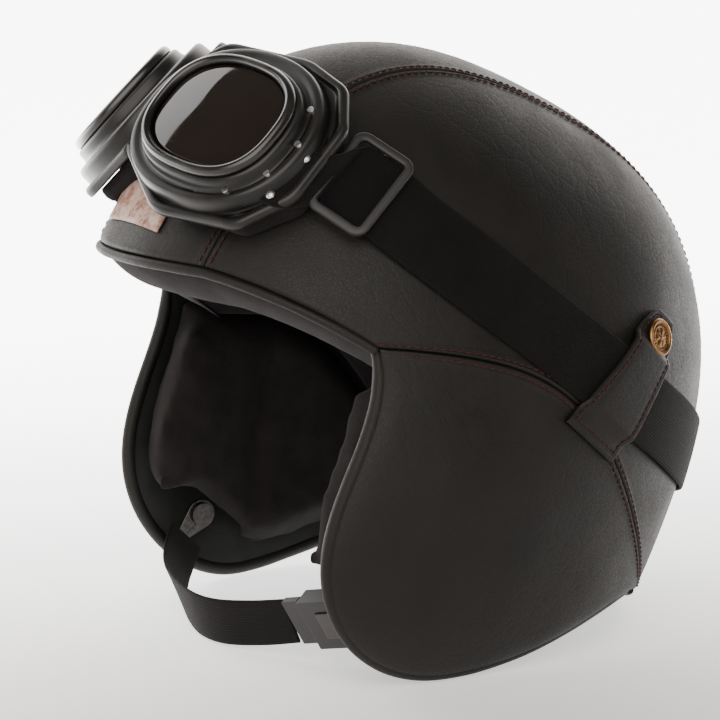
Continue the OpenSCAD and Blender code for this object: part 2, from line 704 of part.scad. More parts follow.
shell();
foam_liner();
crown_lining();
brow_lining();
nape_lining();
leather_center();
leather_side_left();
leather_side_right();
ear_leather_left();
ear_leather_right();
brow_piping();
nape_piping();
ear_piping_left();
ear_piping_right();
brow_patch();
cheek_plate_left();
cheek_plate_right();
cheek_pad_left();
cheek_pad_right();
tab_anchor_left();
tab_anchor_right();
snap_tab_left();
snap_tab_right();
snap_cap_left();
snap_cap_right();
snap_socket_left();
snap_socket_right();
snap_stud_left();
snap_stud_right();
band_rear();
band_left();
band_right();
band_slider_left();
band_slider_right();
goggle_frame();
goggle_rivets();
lens_rim_left();
lens_rim_right();
lens_left();
lens_right();
face_foam_left();
face_foam_right();
chin_rivets();
strap_end_left();
strap_end_right();
chin_web_left();
chin_web_right();
buckle_housing();
buckle_tongue();
release_button();
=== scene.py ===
# Looks of a leather-covered open-face helmet with goggles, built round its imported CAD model.
# Metres, +Z up, -Y to the front of the helmet, +X to the wearer's left.
import json
import math

import bmesh
import bpy
import numpy as np
from mathutils import Matrix, Vector, noise


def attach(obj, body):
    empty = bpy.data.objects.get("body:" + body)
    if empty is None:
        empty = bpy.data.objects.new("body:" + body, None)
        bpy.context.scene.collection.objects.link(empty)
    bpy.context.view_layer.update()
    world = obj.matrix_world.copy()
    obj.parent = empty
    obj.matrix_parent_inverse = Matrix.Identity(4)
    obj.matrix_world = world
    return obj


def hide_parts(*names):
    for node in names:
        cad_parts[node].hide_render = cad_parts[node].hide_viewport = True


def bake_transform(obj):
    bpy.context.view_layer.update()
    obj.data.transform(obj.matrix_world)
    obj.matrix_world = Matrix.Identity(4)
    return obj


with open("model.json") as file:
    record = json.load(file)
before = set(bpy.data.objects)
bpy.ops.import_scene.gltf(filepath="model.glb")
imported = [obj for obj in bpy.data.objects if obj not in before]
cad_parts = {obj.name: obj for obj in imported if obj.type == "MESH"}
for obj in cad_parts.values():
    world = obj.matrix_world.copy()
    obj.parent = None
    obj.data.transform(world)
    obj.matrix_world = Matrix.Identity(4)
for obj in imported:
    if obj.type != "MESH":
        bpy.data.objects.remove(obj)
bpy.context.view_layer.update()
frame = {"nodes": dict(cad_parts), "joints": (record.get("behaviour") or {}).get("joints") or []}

MM = 0.001
joints = {j["name"]: j for j in frame["joints"]}
# Every curved layer is drawn about the crown's centre, which is the goggles' swing axis
CENTRE = np.array(joints["goggles_swing"]["pos_m"])


def linked(name, data):
    """A new object in the scene."""
    obj = bpy.data.objects.new(name, data)
    bpy.context.scene.collection.objects.link(obj)
    return obj


# ---- Shader nodes ----
def node(tree, kind, inputs=None, **settings):
    made = tree.nodes.new("ShaderNode" + kind)
    for key, value in settings.items():
        setattr(made, key, value)
    for key, value in (inputs or {}).items():
        if isinstance(value, bpy.types.NodeSocket):
            tree.links.new(value, made.inputs[key])
        else:
            made.inputs[key].default_value = value
    return made


def maths(tree, operation, *values, **settings):
    return node(tree, "Math", dict(enumerate(values)), operation=operation, **settings).outputs[0]


def remap(tree, value, low, high, to_low, to_high, **settings):
    return node(tree, "MapRange", {"Value": value, "From Min": low, "From Max": high,
                                   "To Min": to_low, "To Max": to_high}, **settings).outputs["Result"]


def facing(tree, way, direction, start, full, low, high):
    """A value that eases from low to high as way goes from start to full along a direction."""
    dot = node(tree, "VectorMath", {0: way, 1: direction}, operation="DOT_PRODUCT").outputs["Value"]
    return remap(tree, dot, start, full, low, high, interpolation_type="SMOOTHSTEP")


def clouds(tree, place, scale, detail, rough=0.5):
    return node(tree, "TexNoise", {"Vector": place, "Scale": scale, "Detail": detail,
                                   "Roughness": rough}).outputs["Fac"]


def cell_distance(tree, place, scale, feature="F1"):
    return node(tree, "TexVoronoi", {"Vector": place, "Scale": scale}, feature=feature).outputs["Distance"]


# ---- Camera and light ----
VIEW_AZIMUTH = math.radians(60)
VIEW_ELEVATION = math.radians(11)
VIEW_DISTANCE = 0.95
VIEW_AIM = Vector((0, -0.0065, 0.0245))
SENSOR_MM, LENS_MM = 36, 116.4
WORLD_COLOUR = (1.0, 0.955, 0.905, 1)
WALL_GLOW = 1.9


def make_camera():
    back = Vector((math.sin(VIEW_AZIMUTH) * math.cos(VIEW_ELEVATION),
                   -math.cos(VIEW_AZIMUTH) * math.cos(VIEW_ELEVATION), math.sin(VIEW_ELEVATION)))
    camera = linked("camera", bpy.data.cameras.new("camera"))
    camera.data.sensor_width = SENSOR_MM
    camera.data.lens = LENS_MM
    camera.location = Vector(CENTRE) + VIEW_AIM + back * VIEW_DISTANCE
    camera.rotation_euler = back.to_track_quat("Z", "Y").to_euler()
    bpy.context.scene.camera = camera


def make_world():
    """A studio with a pale wall and a glow behind the helmet, and a second glow in front of it."""
    world = bpy.data.worlds.new("studio")
    bpy.context.scene.world = world
    world.use_nodes = True
    tree = world.node_tree
    way = node(tree, "TexCoord").outputs["Generated"]
    behind = facing(tree, way, (-0.97, -0.05, 0), -0.10, 0.70, 0.0, 1.0)
    rise = node(tree, "SeparateXYZ", {0: way}).outputs[2]
    low_down = remap(tree, rise, 0.36, 0.60, 1.0, 0.0, interpolation_type="SMOOTHSTEP")
    wall = maths(tree, "MULTIPLY", behind, low_down)
    back_glow = facing(tree, way, (-0.76, 0.60, 0.26), 0.60, 0.98, 0.22, 3.2)
    front_glow = facing(tree, way, (0.74, -0.53, 0.42), 0.70, 0.98, 0.0, 4.2)
    glows = maths(tree, "ADD", back_glow, front_glow)
    background = tree.nodes["Background"]
    background.inputs["Color"].default_value = WORLD_COLOUR
    tree.links.new(maths(tree, "MULTIPLY_ADD", wall, WALL_GLOW, glows), background.inputs["Strength"])


def make_window(near_edge, along, away, length, width, glow, colour):
    """A bright rectangle: the middle of its near edge, that edge's direction, and its own spread."""
    light = bpy.data.lights.new("window", "AREA")
    light.shape = "RECTANGLE"
    light.size, light.size_y = width, length
    light.energy = glow * math.pi * width * length
    light.color = colour
    obj = linked("window", light)
    x, y = Vector(away).normalized(), Vector(along).normalized()
    turn_to = Matrix((x, y, x.cross(y))).transposed().to_4x4()
    obj.matrix_world = Matrix.Translation(Vector(near_edge) + x * width / 2) @ turn_to


# ---- Arrays and meshes ----
def mix(a, b, f):
    return a + (b - a) * f


def ease(f):
    c = np.clip(f, 0, 1)
    return c * c * (3 - 2 * c)


def unit(v):
    return v / np.linalg.norm(v, axis=-1, keepdims=True)


def same(p):
    return p


def flip(p):
    return p * np.array([-1, 1, 1])


# The wearer's left is drawn, and the right is its mirror image
SIDES = (("left", same), ("right", flip))


def runs(points):
    """Distance along a line of points."""
    steps = np.linalg.norm(np.diff(points, axis=0), axis=1)
    return np.concatenate([[0], np.cumsum(steps)])


def resample(points, distances):
    run = runs(points)
    return np.stack([np.interp(distances, run, points[:, k]) for k in range(points.shape[1])], axis=1)


def grid_quads(m, n, base=0, wrap=False):
    i, j = np.meshgrid(np.arange(m - 1), np.arange(n if wrap else n - 1), indexing="ij")
    k = (j + 1) % n
    quads = np.stack([i * n + j, i * n + k, (i + 1) * n + k, (i + 1) * n + j], axis=-1)
    return (quads.reshape(-1, 4) + base).tolist()


def rim_loop(m, n):
    return (list(range(n)) + [i * n + n - 1 for i in range(1, m)]
            + [(m - 1) * n + j for j in range(n - 2, -1, -1)] + [i * n for i in range(m - 2, 0, -1)])


def closed_mesh(name, points, faces):
    """A mesh with its normals turned outwards."""
    mesh = bpy.data.meshes.new(name)
    mesh.from_pydata(points.tolist(), [], faces)
    work = bmesh.new()
    work.from_mesh(mesh)
    bmesh.ops.recalc_face_normals(work, faces=work.faces)
    work.to_mesh(mesh)
    work.free()
    return mesh


def make_piece(name, shape, finish, body=None, replaces=()):
    """A smooth closed piece, from its points, its faces and any flat places."""
    points, faces, *flat = shape
    mesh = closed_mesh(name, points, faces)
    if flat:
        layer = mesh.uv_layers.new(name="flat")
        corner = np.zeros(len(mesh.loops), np.int32)
        mesh.loops.foreach_get("vertex_index", corner)
        layer.data.foreach_set("uv", np.asarray(flat[0], np.float32)[corner].ravel())
    mesh.polygons.foreach_set("use_smooth", [True] * len(mesh.polygons))
    mesh.materials.append(finish)
    obj = linked(name, mesh)
    if body:
        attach(obj, body)
    if replaces:
        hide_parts(*replaces)
    return obj


def slab(top, under):
    """Points and faces of a sheet between two grids, and each point's flat place."""
    m, n = top.shape[:2]
    faces = grid_quads(m, n) + grid_quads(m, n, m * n)
    rim = rim_loop(m, n)
    faces += [[a, b, b + m * n, a + m * n] for a, b in zip(rim, rim[1:] + rim[:1])]
    along, across = np.meshgrid(runs(top[:, n // 2]), runs(top[m // 2]), indexing="ij")
    flat = np.stack([along, across], axis=-1).reshape(-1, 2)
    points = np.concatenate([top.reshape(-1, 3), under.reshape(-1, 3)])
    return points, faces, np.concatenate([flat, flat])


def sheet(top, under, place=same):
    """A slab between two grids that are drawn about the crown's centre."""
    return slab(place(np.array(top)) + CENTRE, place(np.array(under)) + CENTRE)


def disc(top, under, top_mid, under_mid):
    """Points and faces of a disc of rings about a middle, between two grids."""
    m, n = top.shape[:2]
    faces = grid_quads(m, n, 0, True) + grid_quads(m, n, m * n, True)
    pole = 2 * m * n
    last = (m - 1) * n
    for j in range(n):
        k = (j + 1) % n
        faces.append([j, k, pole])
        faces.append([m * n + j, m * n + k, pole + 1])
        faces.append([last + j, last + k, m * n + last + k, m * n + last + j])
    points = np.concatenate([top.reshape(-1, 3), under.reshape(-1, 3), [top_mid], [under_mid]])
    return points, faces


def tube(rings, closed=False):
    """Points and faces through rings of points, an end cap at each end, or closed into a loop."""
    m, n = rings.shape[:2]
    faces = grid_quads(m, n, 0, True)
    if closed:
        faces += [[(m - 1) * n + j, (m - 1) * n + (j + 1) % n, (j + 1) % n, j] for j in range(n)]
    else:
        faces += [list(range(n)), list(range((m - 1) * n, m * n))]
    return rings.reshape(-1, 3), faces


def tangents(path):
    t = np.empty_like(path)
    t[1:-1] = path[2:] - path[:-2]
    t[0], t[-1] = path[1] - path[0], path[-1] - path[-2]
    return unit(t)


def rounds(middle, radius, u, v, sides):
    """A round section at each point, in the plane of its directions u and v."""
    w = np.arange(sides)[:, None] * 2 * math.pi / sides
    way = np.cos(w) * u[..., None, :] + np.sin(w) * v[..., None, :]
    return middle[..., None, :] + radius[..., None, None] * way


def uneven(points, scale, amount, seed=0.0):
    """Slow soft unevenness, the same every run."""
    flat = points.reshape(-1, 3)
    made = [noise.noise(Vector((p[0] / scale + seed, p[1] / scale, p[2] / scale))) for p in flat]
    return amount * np.array(made).reshape(points.shape[:-1])


# ---- The crown's surface, as in part.scad ----
HALF_WIDTH, HALF_LENGTH, HALF_HEIGHT = 107 * MM, 137 * MM, 149 * MM
LEAN = math.radians(25.4)
SQUARENESS = 2.46
LEATHER_T, SHELL_T, FOAM_T, LINING_T = 2.2 * MM, 3.5 * MM, 18 * MM, 6.5 * MM
SHELL_D = LEATHER_T + 0.4 * MM
LINING_D = SHELL_D + SHELL_T + FOAM_T + 1.0 * MM
INNER_D = LINING_D + LINING_T
PAD_D = SHELL_D + SHELL_T + 2.5 * MM


def profile(y, z, d):
    """The crown's side view as a leaning superellipse: 1 on its outline, at depth d."""
    u = y * math.cos(LEAN) - z * math.sin(LEAN)
    w = y * math.sin(LEAN) + z * math.cos(LEAN)
    return ((np.abs(u) / (HALF_LENGTH - d)) ** SQUARENESS
            + (np.abs(w) / (HALF_HEIGHT - d)) ** SQUARENESS) ** (1 / SQUARENESS)


def gauge(p, d=0.0):
    """Less than 1 inside the leather's face moved in by d, more than 1 outside."""
    return np.hypot(p[..., 0] / (HALF_WIDTH - d), profile(p[..., 1], p[..., 2], d))


def at(p, d):
    """The point at depth d under the leather's face, in the direction p."""
    return p / gauge(p, d)[..., None]


def lift(q):
    """The place on the left half of the leather with this y and z."""
    side = np.sqrt(np.clip(1 - profile(q[..., 0], q[..., 1], 0) ** 2, 0, None))
    return np.stack([HALF_WIDTH * side, q[..., 0], q[..., 1]], axis=-1)


def normals(p):
    """Directions straight out of the leather."""
    e = 0.05 * MM
    slope = np.stack([gauge(p + e * np.eye(3)[k]) - gauge(p - e * np.eye(3)[k])
                      for k in range(3)], axis=-1)
    return unit(slope)


def cubic(a, b, c, d, t):
    return (1 - t) ** 3 * a + 3 * t * (1 - t) ** 2 * b + 3 * t * t * (1 - t) * c + t ** 3 * d


def bezier(b, t):
    return cubic(*[np.array(q, float) * MM for q in b], np.asarray(t, float)[..., None])


def rolled(e, drop, width):
    """How far a rounded edge drops at distance e inside it."""
    return drop * (1 - np.sqrt(1 - np.clip(1 - e / width, 0, 1) ** 2))


FRONT_CORNER, REAR_CORNER = [-52, 49], [90, -71]
EAR_SEAM = [FRONT_CORNER, [36, 39], [36, 16], REAR_CORNER]
EAR_FRONT = [FRONT_CORNER, [-48, 22], [-72.5, -2], [-72.5, -31]]
EAR_CHIN = [[-72.5, -31], [-72.5, -59], [-49, -84], [-20, -84]]
EAR_BASE = [[-20, -84], [18, -84], [58, -63], REAR_CORNER]
EAR_MIDDLE = np.array([-4, -22]) * MM
BROW_SEAM_A, BROW_MID_A, NAPE_SEAM_A, NAPE_MID_A = 142.5, 145.5, -37.2, -37.1
CORNER_FRONT_A = math.degrees(math.atan2(FRONT_CORNER[1], FRONT_CORNER[0]))
CORNER_REAR_A = math.degrees(math.atan2(REAR_CORNER[1], REAR_CORNER[0]))


def ear_edge(v):
    """The free edge of the ear flap, from the front corner (0) round the chin to the rear (1)."""
    v = np.asarray(v, float)[..., None]
    front = bezier(EAR_FRONT, np.clip(v[..., 0] / 0.3, 0, 1))
    chin = bezier(EAR_CHIN, np.clip((v[..., 0] - 0.3) / 0.3, 0, 1))
    base = bezier(EAR_BASE, np.clip((v[..., 0] - 0.6) / 0.4, 0, 1))
    return np.where(v < 0.3, front, np.where(v < 0.6, chin, base))


def polar_dir(a, b):
    a, b = np.radians(a), np.radians(b)
    return np.stack(np.broadcast_arrays(np.sin(b), np.cos(b) * np.cos(a), np.cos(b) * np.sin(a)), axis=-1)


def seam_share(u):
    """How far a place on the ear seam lies from the nape, 0, to the brow, 1."""
    q = bezier(EAR_SEAM, u)
    angle = np.degrees(np.arctan2(q[..., 1], q[..., 0]))
    return (angle - CORNER_REAR_A) / (CORNER_FRONT_A - CORNER_REAR_A)


def strip_half(u):
    """Half the centre strip's width in degrees: wider at the brow."""
    return 14 + 6 * ease((seam_share(u) - 0.68) / 0.32)


def side_dir(u, f):
    """A direction on the side panel: f is 0 at the ear seam and 1 at the centre strip."""
    s = lift(bezier(EAR_SEAM, u))
    a = np.degrees(np.arctan2(s[..., 2], s[..., 1]))
    b = np.degrees(np.arctan2(s[..., 0], np.hypot(s[..., 1], s[..., 2])))
    share = seam_share(u)
    return polar_dir(mix(a, mix(NAPE_SEAM_A, BROW_SEAM_A, share), f), mix(b, strip_half(u), f))


def centre_dir(u, f):
    """A direction on the centre strip: f runs from -1, right, to 1, left."""
    share = seam_share(u)
    middle = mix(NAPE_MID_A, BROW_MID_A, share)
    edge = mix(NAPE_SEAM_A, BROW_SEAM_A, share)
    return polar_dir(mix(middle, edge, f * f), f * strip_half(u))


def turn(p, degrees):
    """Turns a direction about the side-to-side axis: positive moves the brow edge downwards."""
    c, s = np.cos(np.radians(degrees)), np.sin(np.radians(degrees))
    return np.stack(np.broadcast_arrays(p[..., 0], p[..., 1] * c - p[..., 2] * s,
                                        p[..., 1] * s + p[..., 2] * c), axis=-1)


def crown_row(u, side_count=40, centre_count=30, start=0.0):
    """Directions right across the crown at one place along the seam, from right to left."""
    side = side_dir(np.full(side_count, u), np.linspace(start, 1, side_count))
    centre = centre_dir(np.full(centre_count, u), np.linspace(-1, 1, centre_count + 2)[1:-1])
    return np.concatenate([flip(side), centre, side[::-1]])


# ---- Finishes ----
def shader(name, rough, specular, metallic=0.0, **fixed):
    """A material, its nodes, its shader, and places on the object for its textures."""
    material = bpy.data.materials.new(name)
    material.use_nodes = True
    tree = material.node_tree
    bsdf = tree.nodes["Principled BSDF"]
    bsdf.inputs["Roughness"].default_value = rough
    bsdf.inputs["Specular IOR Level"].default_value = specular
    bsdf.inputs["Metallic"].default_value = metallic
    for key, value in fixed.items():
        bsdf.inputs[key.replace("_", " ").title()].default_value = value
    return material, tree, bsdf, node(tree, "TexCoord").outputs["Object"]


def two_tones(tree, share, dark, light):
    made = node(tree, "Mix", {0: share, 6: (*dark, 1), 7: (*light, 1)}, data_type="RGBA")
    return made.outputs[2]


def colour(tree, bsdf, share, dark, light):
    tree.links.new(two_tones(tree, share, dark, light), bsdf.inputs["Base Color"])


def gloss(tree, bsdf, value):
    tree.links.new(value, bsdf.inputs["Roughness"])


def bumps(tree, bsdf, *layers):
    """Stacks (height socket, strength, distance in metres) into the shader's normal."""
    normal = None
    for height, strength, distance in layers:
        made = node(tree, "Bump", {"Height": height, "Strength": strength, "Distance": distance})
        if normal is not None:
            tree.links.new(normal, made.inputs["Normal"])
        normal = made.outputs["Normal"]
    tree.links.new(normal, bsdf.inputs["Normal"])


def leather_finish(name, dark, light, pore=720):
    """Fine pebbled leather: cells, small wrinkles, and a slow change of tone and gloss."""
    material, tree, bsdf, place = shader(name, 0.5, 0.22)
    warp = node(tree, "TexNoise", {"Vector": place, "Scale": 160, "Detail": 2}).outputs["Color"]
    shift = node(tree, "VectorMath", {0: warp, 3: 0.0016}, operation="SCALE").outputs[0]
    bent = node(tree, "VectorMath", {0: place, 1: shift}, operation="ADD").outputs[0]
    cells = remap(tree, cell_distance(tree, bent, pore, "DISTANCE_TO_EDGE"), 0.0, 0.22, 0.0, 1.0)
    creases = remap(tree, cell_distance(tree, bent, pore * 0.16, "DISTANCE_TO_EDGE"), 0.0, 0.10, 0.0, 1.0)
    fine = clouds(tree, place, 3200, 2)
    broad = clouds(tree, place, 24, 5, 0.6)
    colour(tree, bsdf, remap(tree, broad, 0.35, 0.70, 0.0, 1.0), dark, light)
    matt_cracks = remap(tree, cells, 0.0, 1.0, 0.12, 0.0)
    gloss(tree, bsdf, maths(tree, "ADD", remap(tree, broad, 0.3, 0.7, 0.40, 0.58), matt_cracks))
    bumps(tree, bsdf, (cells, 0.30, 0.00012), (creases, 0.22, 0.00016), (fine, 0.25, 0.00005))
    return material


def worn_tan():
    """Pale tan leather with its finish rubbed through to red-brown specks and blotches."""
    material, tree, bsdf, place = shader("tan_leather", 0.6, 0.25)
    blotch = clouds(tree, place, 170, 6, 0.7)
    speck = clouds(tree, place, 900, 3)
    base = two_tones(tree, remap(tree, blotch, 0.40, 0.62, 0, 1), (0.25, 0.12, 0.078), (0.45, 0.335, 0.285))
    spots = maths(tree, "MULTIPLY", remap(tree, blotch, 0.36, 0.50, 1, 0),
                  remap(tree, speck, 0.48, 0.60, 0, 1))
    made = node(tree, "Mix", {0: spots, 6: base, 7: (0.13, 0.035, 0.02, 1)}, data_type="RGBA")
    tree.links.new(made.outputs[2], bsdf.inputs["Base Color"])
    cells = cell_distance(tree, place, 620, "DISTANCE_TO_EDGE")
    bumps(tree, bsdf, (cells, 0.35, 0.0002), (blotch, 0.5, 0.0005))
    return material


def brushed_fabric(name, dark, light, sheen):
    """Short-napped lining fabric: directionless fibres, soft pilling and patches of nap."""
    material, tree, bsdf, place = shader(name, 0.95, 0.08, sheen_weight=sheen, sheen_roughness=0.5)
    nap = clouds(tree, place, 90, 4)
    fibre = clouds(tree, place, 1500, 4, 0.75)
    pills = cell_distance(tree, place, 900)
    share = maths(tree, "ADD", remap(tree, nap, 0.35, 0.65, 0, 0.5), remap(tree, fibre, 0.3, 0.7, 0, 0.5))
    colour(tree, bsdf, share, dark, light)
    bumps(tree, bsdf, (fibre, 0.6, 0.0003), (pills, 0.35, 0.0002), (nap, 0.2, 0.0006))
    return material


def wave(tree, length, pitch):
    """A sine of a length in metres, from 0 to 1."""
    sine = maths(tree, "SINE", maths(tree, "MULTIPLY", length, 2 * math.pi / pitch))
    return remap(tree, sine, -1, 1, 0, 1)


def woven(name, dark, light, lean=0.0):
    """Woven tape: warp ribs along it, weft across it or leaning, with fibres on both."""
    material, tree, bsdf, place = shader(name, 0.85, 0.12, sheen_weight=0.05, sheen_roughness=0.4)
    flat = node(tree, "SeparateXYZ", {0: node(tree, "UVMap", uv_map="flat").outputs["UV"]})
    along, across = flat.outputs[0], flat.outputs[1]
    slanted = maths(tree, "MULTIPLY_ADD", across, lean, along)
    height = maths(tree, "MULTIPLY", wave(tree, across, 1.1 * MM), wave(tree, slanted, 0.9 * MM))
    dust = clouds(tree, place, 60, 4)
    # Colour follows the weave's height: painted shade in the grooves between the ribs, with dust over it
    colour(tree, bsdf, maths(tree, "MULTIPLY", height, remap(tree, dust, 0.3, 0.7, 0.2, 1.0)), dark, light)
    bumps(tree, bsdf, (height, 0.45, 0.0003), (clouds(tree, place, 2600, 3), 0.3, 0.0001))
    return material


def moulded(name, dark, light, rough, specular, wear_and_edge_highlight):
    """Moulded rubber or plastic: fine texture, edges painted lighter as wear and as a painted highlight."""
    material, tree, bsdf, place = shader(name, 0.4, specular)
    edge = node(tree, "NewGeometry").outputs["Pointiness"]
    smudge = clouds(tree, place, 70, 5)
    # Edges are painted lighter: wear along them, and a painted highlight
    worn_and_highlit_edges = maths(tree, "MULTIPLY", remap(tree, edge, 0.515, 0.60, 0.0, wear_and_edge_highlight),
                   remap(tree, smudge, 0.35, 0.6, 0.2, 1.0))
    colour(tree, bsdf, worn_and_highlit_edges, dark, light)
    gloss(tree, bsdf, remap(tree, smudge, 0.3, 0.7, *rough))
    bumps(tree, bsdf, (clouds(tree, place, 2400, 3), 0.2, 0.00006),
          (cell_distance(tree, place, 420), 0.12, 0.00010))
    return material


def metal(name, dark, light):
    """Metal with a patina, rubbed bright along its edges."""
    material, tree, bsdf, place = shader(name, 0.3, 0.5, 1.0)
    patina = clouds(tree, place, 520, 5)
    edge = node(tree, "NewGeometry").outputs["Pointiness"]
    share = maths(tree, "ADD", remap(tree, edge, 0.46, 0.53, 0.0, 0.7),
                  remap(tree, patina, 0.45, 0.62, 0.3, 0.0), use_clamp=True)
    colour(tree, bsdf, share, dark, light)
    gloss(tree, bsdf, remap(tree, patina, 0.3, 0.7, 0.22, 0.45))
    bumps(tree, bsdf, (clouds(tree, place, 4200, 2), 0.15, 0.00004))
    return material


def smoked_lens():
    material, tree, bsdf, place = shader("smoked_lens", 0.03, 0.5, transmission_weight=0.35)
    colour(tree, bsdf, clouds(tree, place, 45, 3), (0.008, 0.005, 0.0035), (0.018, 0.0115, 0.008))
    gloss(tree, bsdf, remap(tree, clouds(tree, place, 130, 4), 0.35, 0.75, 0.02, 0.09))
    return material


def thread_finish():
    material, tree, bsdf, place = shader("thread", 0.7, 0.2)
    ply = clouds(tree, place, 2200, 3)
    colour(tree, bsdf, ply, (0.012, 0.004, 0.005), (0.070, 0.016, 0.018))
    bumps(tree, bsdf, (ply, 0.6, 0.00015))
    return material


LEATHER = leather_finish("black_leather", (0.0045, 0.0038, 0.0031), (0.0090, 0.0077, 0.0064))
TAB_LEATHER = leather_finish("tab_leather", (0.0050, 0.0043, 0.0038), (0.0100, 0.0086, 0.0075), pore=820)
TAN_LEATHER = worn_tan()
LINING = brushed_fabric("lining_fabric", (0.0070, 0.0060, 0.0062), (0.0180, 0.0155, 0.0160), 0.04)
PAD_FABRIC = brushed_fabric("pad_fabric", (0.0062, 0.0053, 0.0052), (0.0150, 0.0130, 0.0127), 0.02)
ELASTIC = woven("elastic", (0.0024, 0.0019, 0.0021), (0.0110, 0.0088, 0.0092))
WEBBING = woven("webbing", (0.0036, 0.0030, 0.0028), (0.0105, 0.0088, 0.0080), 1.0)
RUBBER = moulded("goggle_rubber", (0.0050, 0.0044, 0.0040), (0.050, 0.045, 0.041), (0.27, 0.42), 0.34, 0.5)
RIM = moulded("rim_gloss", (0.0040, 0.0035, 0.0032), (0.06, 0.055, 0.05), (0.12, 0.26), 0.55, 0.45)
PLASTIC = moulded("moulded_plastic", (0.0110, 0.0100, 0.0100), (0.06, 0.058, 0.056), (0.38, 0.55), 0.4, 0.6)
BUTTON = moulded("button_plastic", (0.020, 0.015, 0.015), (0.07, 0.06, 0.06), (0.28, 0.42), 0.45, 0.5)
SHELL = moulded("shell_plastic", (0.010, 0.010, 0.010), (0.03, 0.03, 0.03), (0.5, 0.7), 0.3, 0.4)
FOAM = brushed_fabric("bead_foam", (0.010, 0.010, 0.010), (0.045, 0.045, 0.047), 0.0)
BRASS = metal("antique_brass", (0.085, 0.034, 0.010), (0.26, 0.13, 0.045))
STEEL = metal("plated_steel", (0.20, 0.20, 0.205), (0.62, 0.62, 0.62))
BLACK_STEEL = metal("blackened_steel", (0.016, 0.015, 0.015), (0.07, 0.066, 0.064))
LENS = smoked_lens()
THREAD = thread_finish()


# ---- Leather panels ----
# Distances from a panel's edge at which it has a line of points
EDGE = MM * np.array([0, 0.12, 0.3, 0.55, 0.85, 1.2, 1.6, 2.0, 2.4, 2.8, 3.3, 3.9, 4.7, 5.8, 7.6, 10.5])
FINE = np.linspace(0, 1, 241)
SEAM_GAP = 0.08 * MM
STITCH_IN = 2.3 * MM
STITCH_PITCH = 3.3 * MM
STITCH_RADIUS = 0.36 * MM
STITCH_SHARE = 0.72
STITCH_SIDES = 6


def seam_height(e):
    """Height of the leather at distance e from a sewn edge: rolled in, raised, then stitched down."""
    rib = 0.45 * MM * (1 - ease((e - STITCH_IN) / (2.2 * MM)))
    groove = 0.40 * MM * np.exp(-((e - STITCH_IN) / (0.75 * MM)) ** 2)
    return rib - groove - rolled(e, 1.5 * MM, 1.5 * MM)


def ear_hem(e):
    """The ear flap's free edge is turned over a thicker core."""
    return -rolled(e, 2.0 * MM, 8.5 * MM)


def hem_height(e):
    """Height of the leather at distance e from an edge with piping."""
    return -rolled(e, 1.6 * MM, 2.6 * MM)


def marks(length, inner):
    middle = np.linspace(EDGE[-1], length - EDGE[-1], inner + 2)[1:-1]
    return np.concatenate([EDGE, middle, length - EDGE[::-1]])


def shares(line, inner):
    """Where to cut a line on the leather, with the distances to its two ends."""
    run = runs(at(line(FINE), 0))
    far = marks(run[-1] - 2 * SEAM_GAP, inner)
    return np.interp(far + SEAM_GAP, run, FINE), far, far[-1] - far


def panel_grid(direction, inner_u, inner_f):
    """A panel's outer face and underside; direction(u, f) has u and f from 0 to 1."""
    u, brow, nape = shares(lambda t: direction(t, 0.5), inner_u)
    top, under = [], []
    for k in range(len(u)):
        f, start, end = shares(lambda t, k=k: direction(np.full_like(t, u[k]), t), inner_f)
        way = direction(np.full_like(f, u[k]), f)
        height = seam_height(start) + seam_height(end) + hem_height(brow[k]) + hem_height(nape[k])
        height = height + uneven(at(way, 0), 0.045, 0.35 * MM)
        top.append(at(way, -height))
        under.append(at(way, np.full_like(f, LEATHER_T)))
    return np.array(top), np.array(under)


def stitch_line(name, ways, height, pitch=STITCH_PITCH, radius=STITCH_RADIUS, body="helmet"):
    """A row of stitches along directions on the leather, each one sunk at both ends."""
    base = at(ways, -height)
    run = runs(base)
    count = int(run[-1] / pitch)
    centres = (np.arange(count) + 0.5) * run[-1] / count
    steps = np.linspace(-0.5, 0.5, 7)
    distances = centres[:, None] + steps[None, :] * pitch * STITCH_SHARE
    middle = np.stack([np.interp(distances, run, base[:, k]) for k in range(3)], axis=-1)
    out = normals(middle)
    arch = radius * (1.1 - 5.5 * np.abs(steps) ** 2.5)
    middle = middle + out * arch[None, :, None]
    along = unit(np.gradient(middle, axis=1))
    side = unit(np.cross(along, out))
    up = np.cross(side, along)
    thick = radius * np.sqrt(1 - (np.abs(steps) / 0.56) ** 2)
    rings = rounds(middle, thick, side, up, STITCH_SIDES)
    size = len(steps) * STITCH_SIDES
    one = tube(rings[0])[1]
    faces = [[v + k * size for v in face] for k in range(count) for face in one]
    return make_piece(name, (rings.reshape(-1, 3) + CENTRE, faces), THREAD, body)


def edge_ways(direction, from_end, margin):
    """Directions along a panel, a stitch's distance inside one of its side edges."""
    ways = []
    for u in np.linspace(margin, 1 - margin, 260):
        run = runs(at(direction(np.full_like(FINE, u), FINE), 0))
        f = np.interp(run[-1] - STITCH_IN if from_end else STITCH_IN, run, FINE)
        ways.append(direction(np.array([u]), np.array([f]))[0])
    return np.array(ways)


def centre_panel_dir(u, t):
    return centre_dir(np.asarray(u), 2 * t - 1)


STITCH_HEIGHT = float(seam_height(np.array(STITCH_IN)))


def make_leather():
    side = panel_grid(side_dir, 56, 26)
    centre = panel_grid(centre_panel_dir, 56, 12)
    for name, shape, cad_node in (("side_panel_left", sheet(*side), "leather_side_left"),
                                  ("side_panel_right", sheet(*side, flip), "leather_side_right"),
                                  ("centre_panel", sheet(*centre), "leather_center")):
        make_piece(name, shape, LEATHER, "helmet", (cad_node,))
    rows = (("strip_stitches_inner_", edge_ways(centre_panel_dir, True, 0.004)),
            ("strip_stitches_outer_", edge_ways(side_dir, True, 0.004)),
            ("ear_stitches_upper_", edge_ways(side_dir, False, 0.006)))
    for side_name, place in SIDES:
        for row, ways in rows:
            stitch_line(row + side_name, place(ways), STITCH_HEIGHT)


SEAM_POINTS, FREE_POINTS = 110, 170


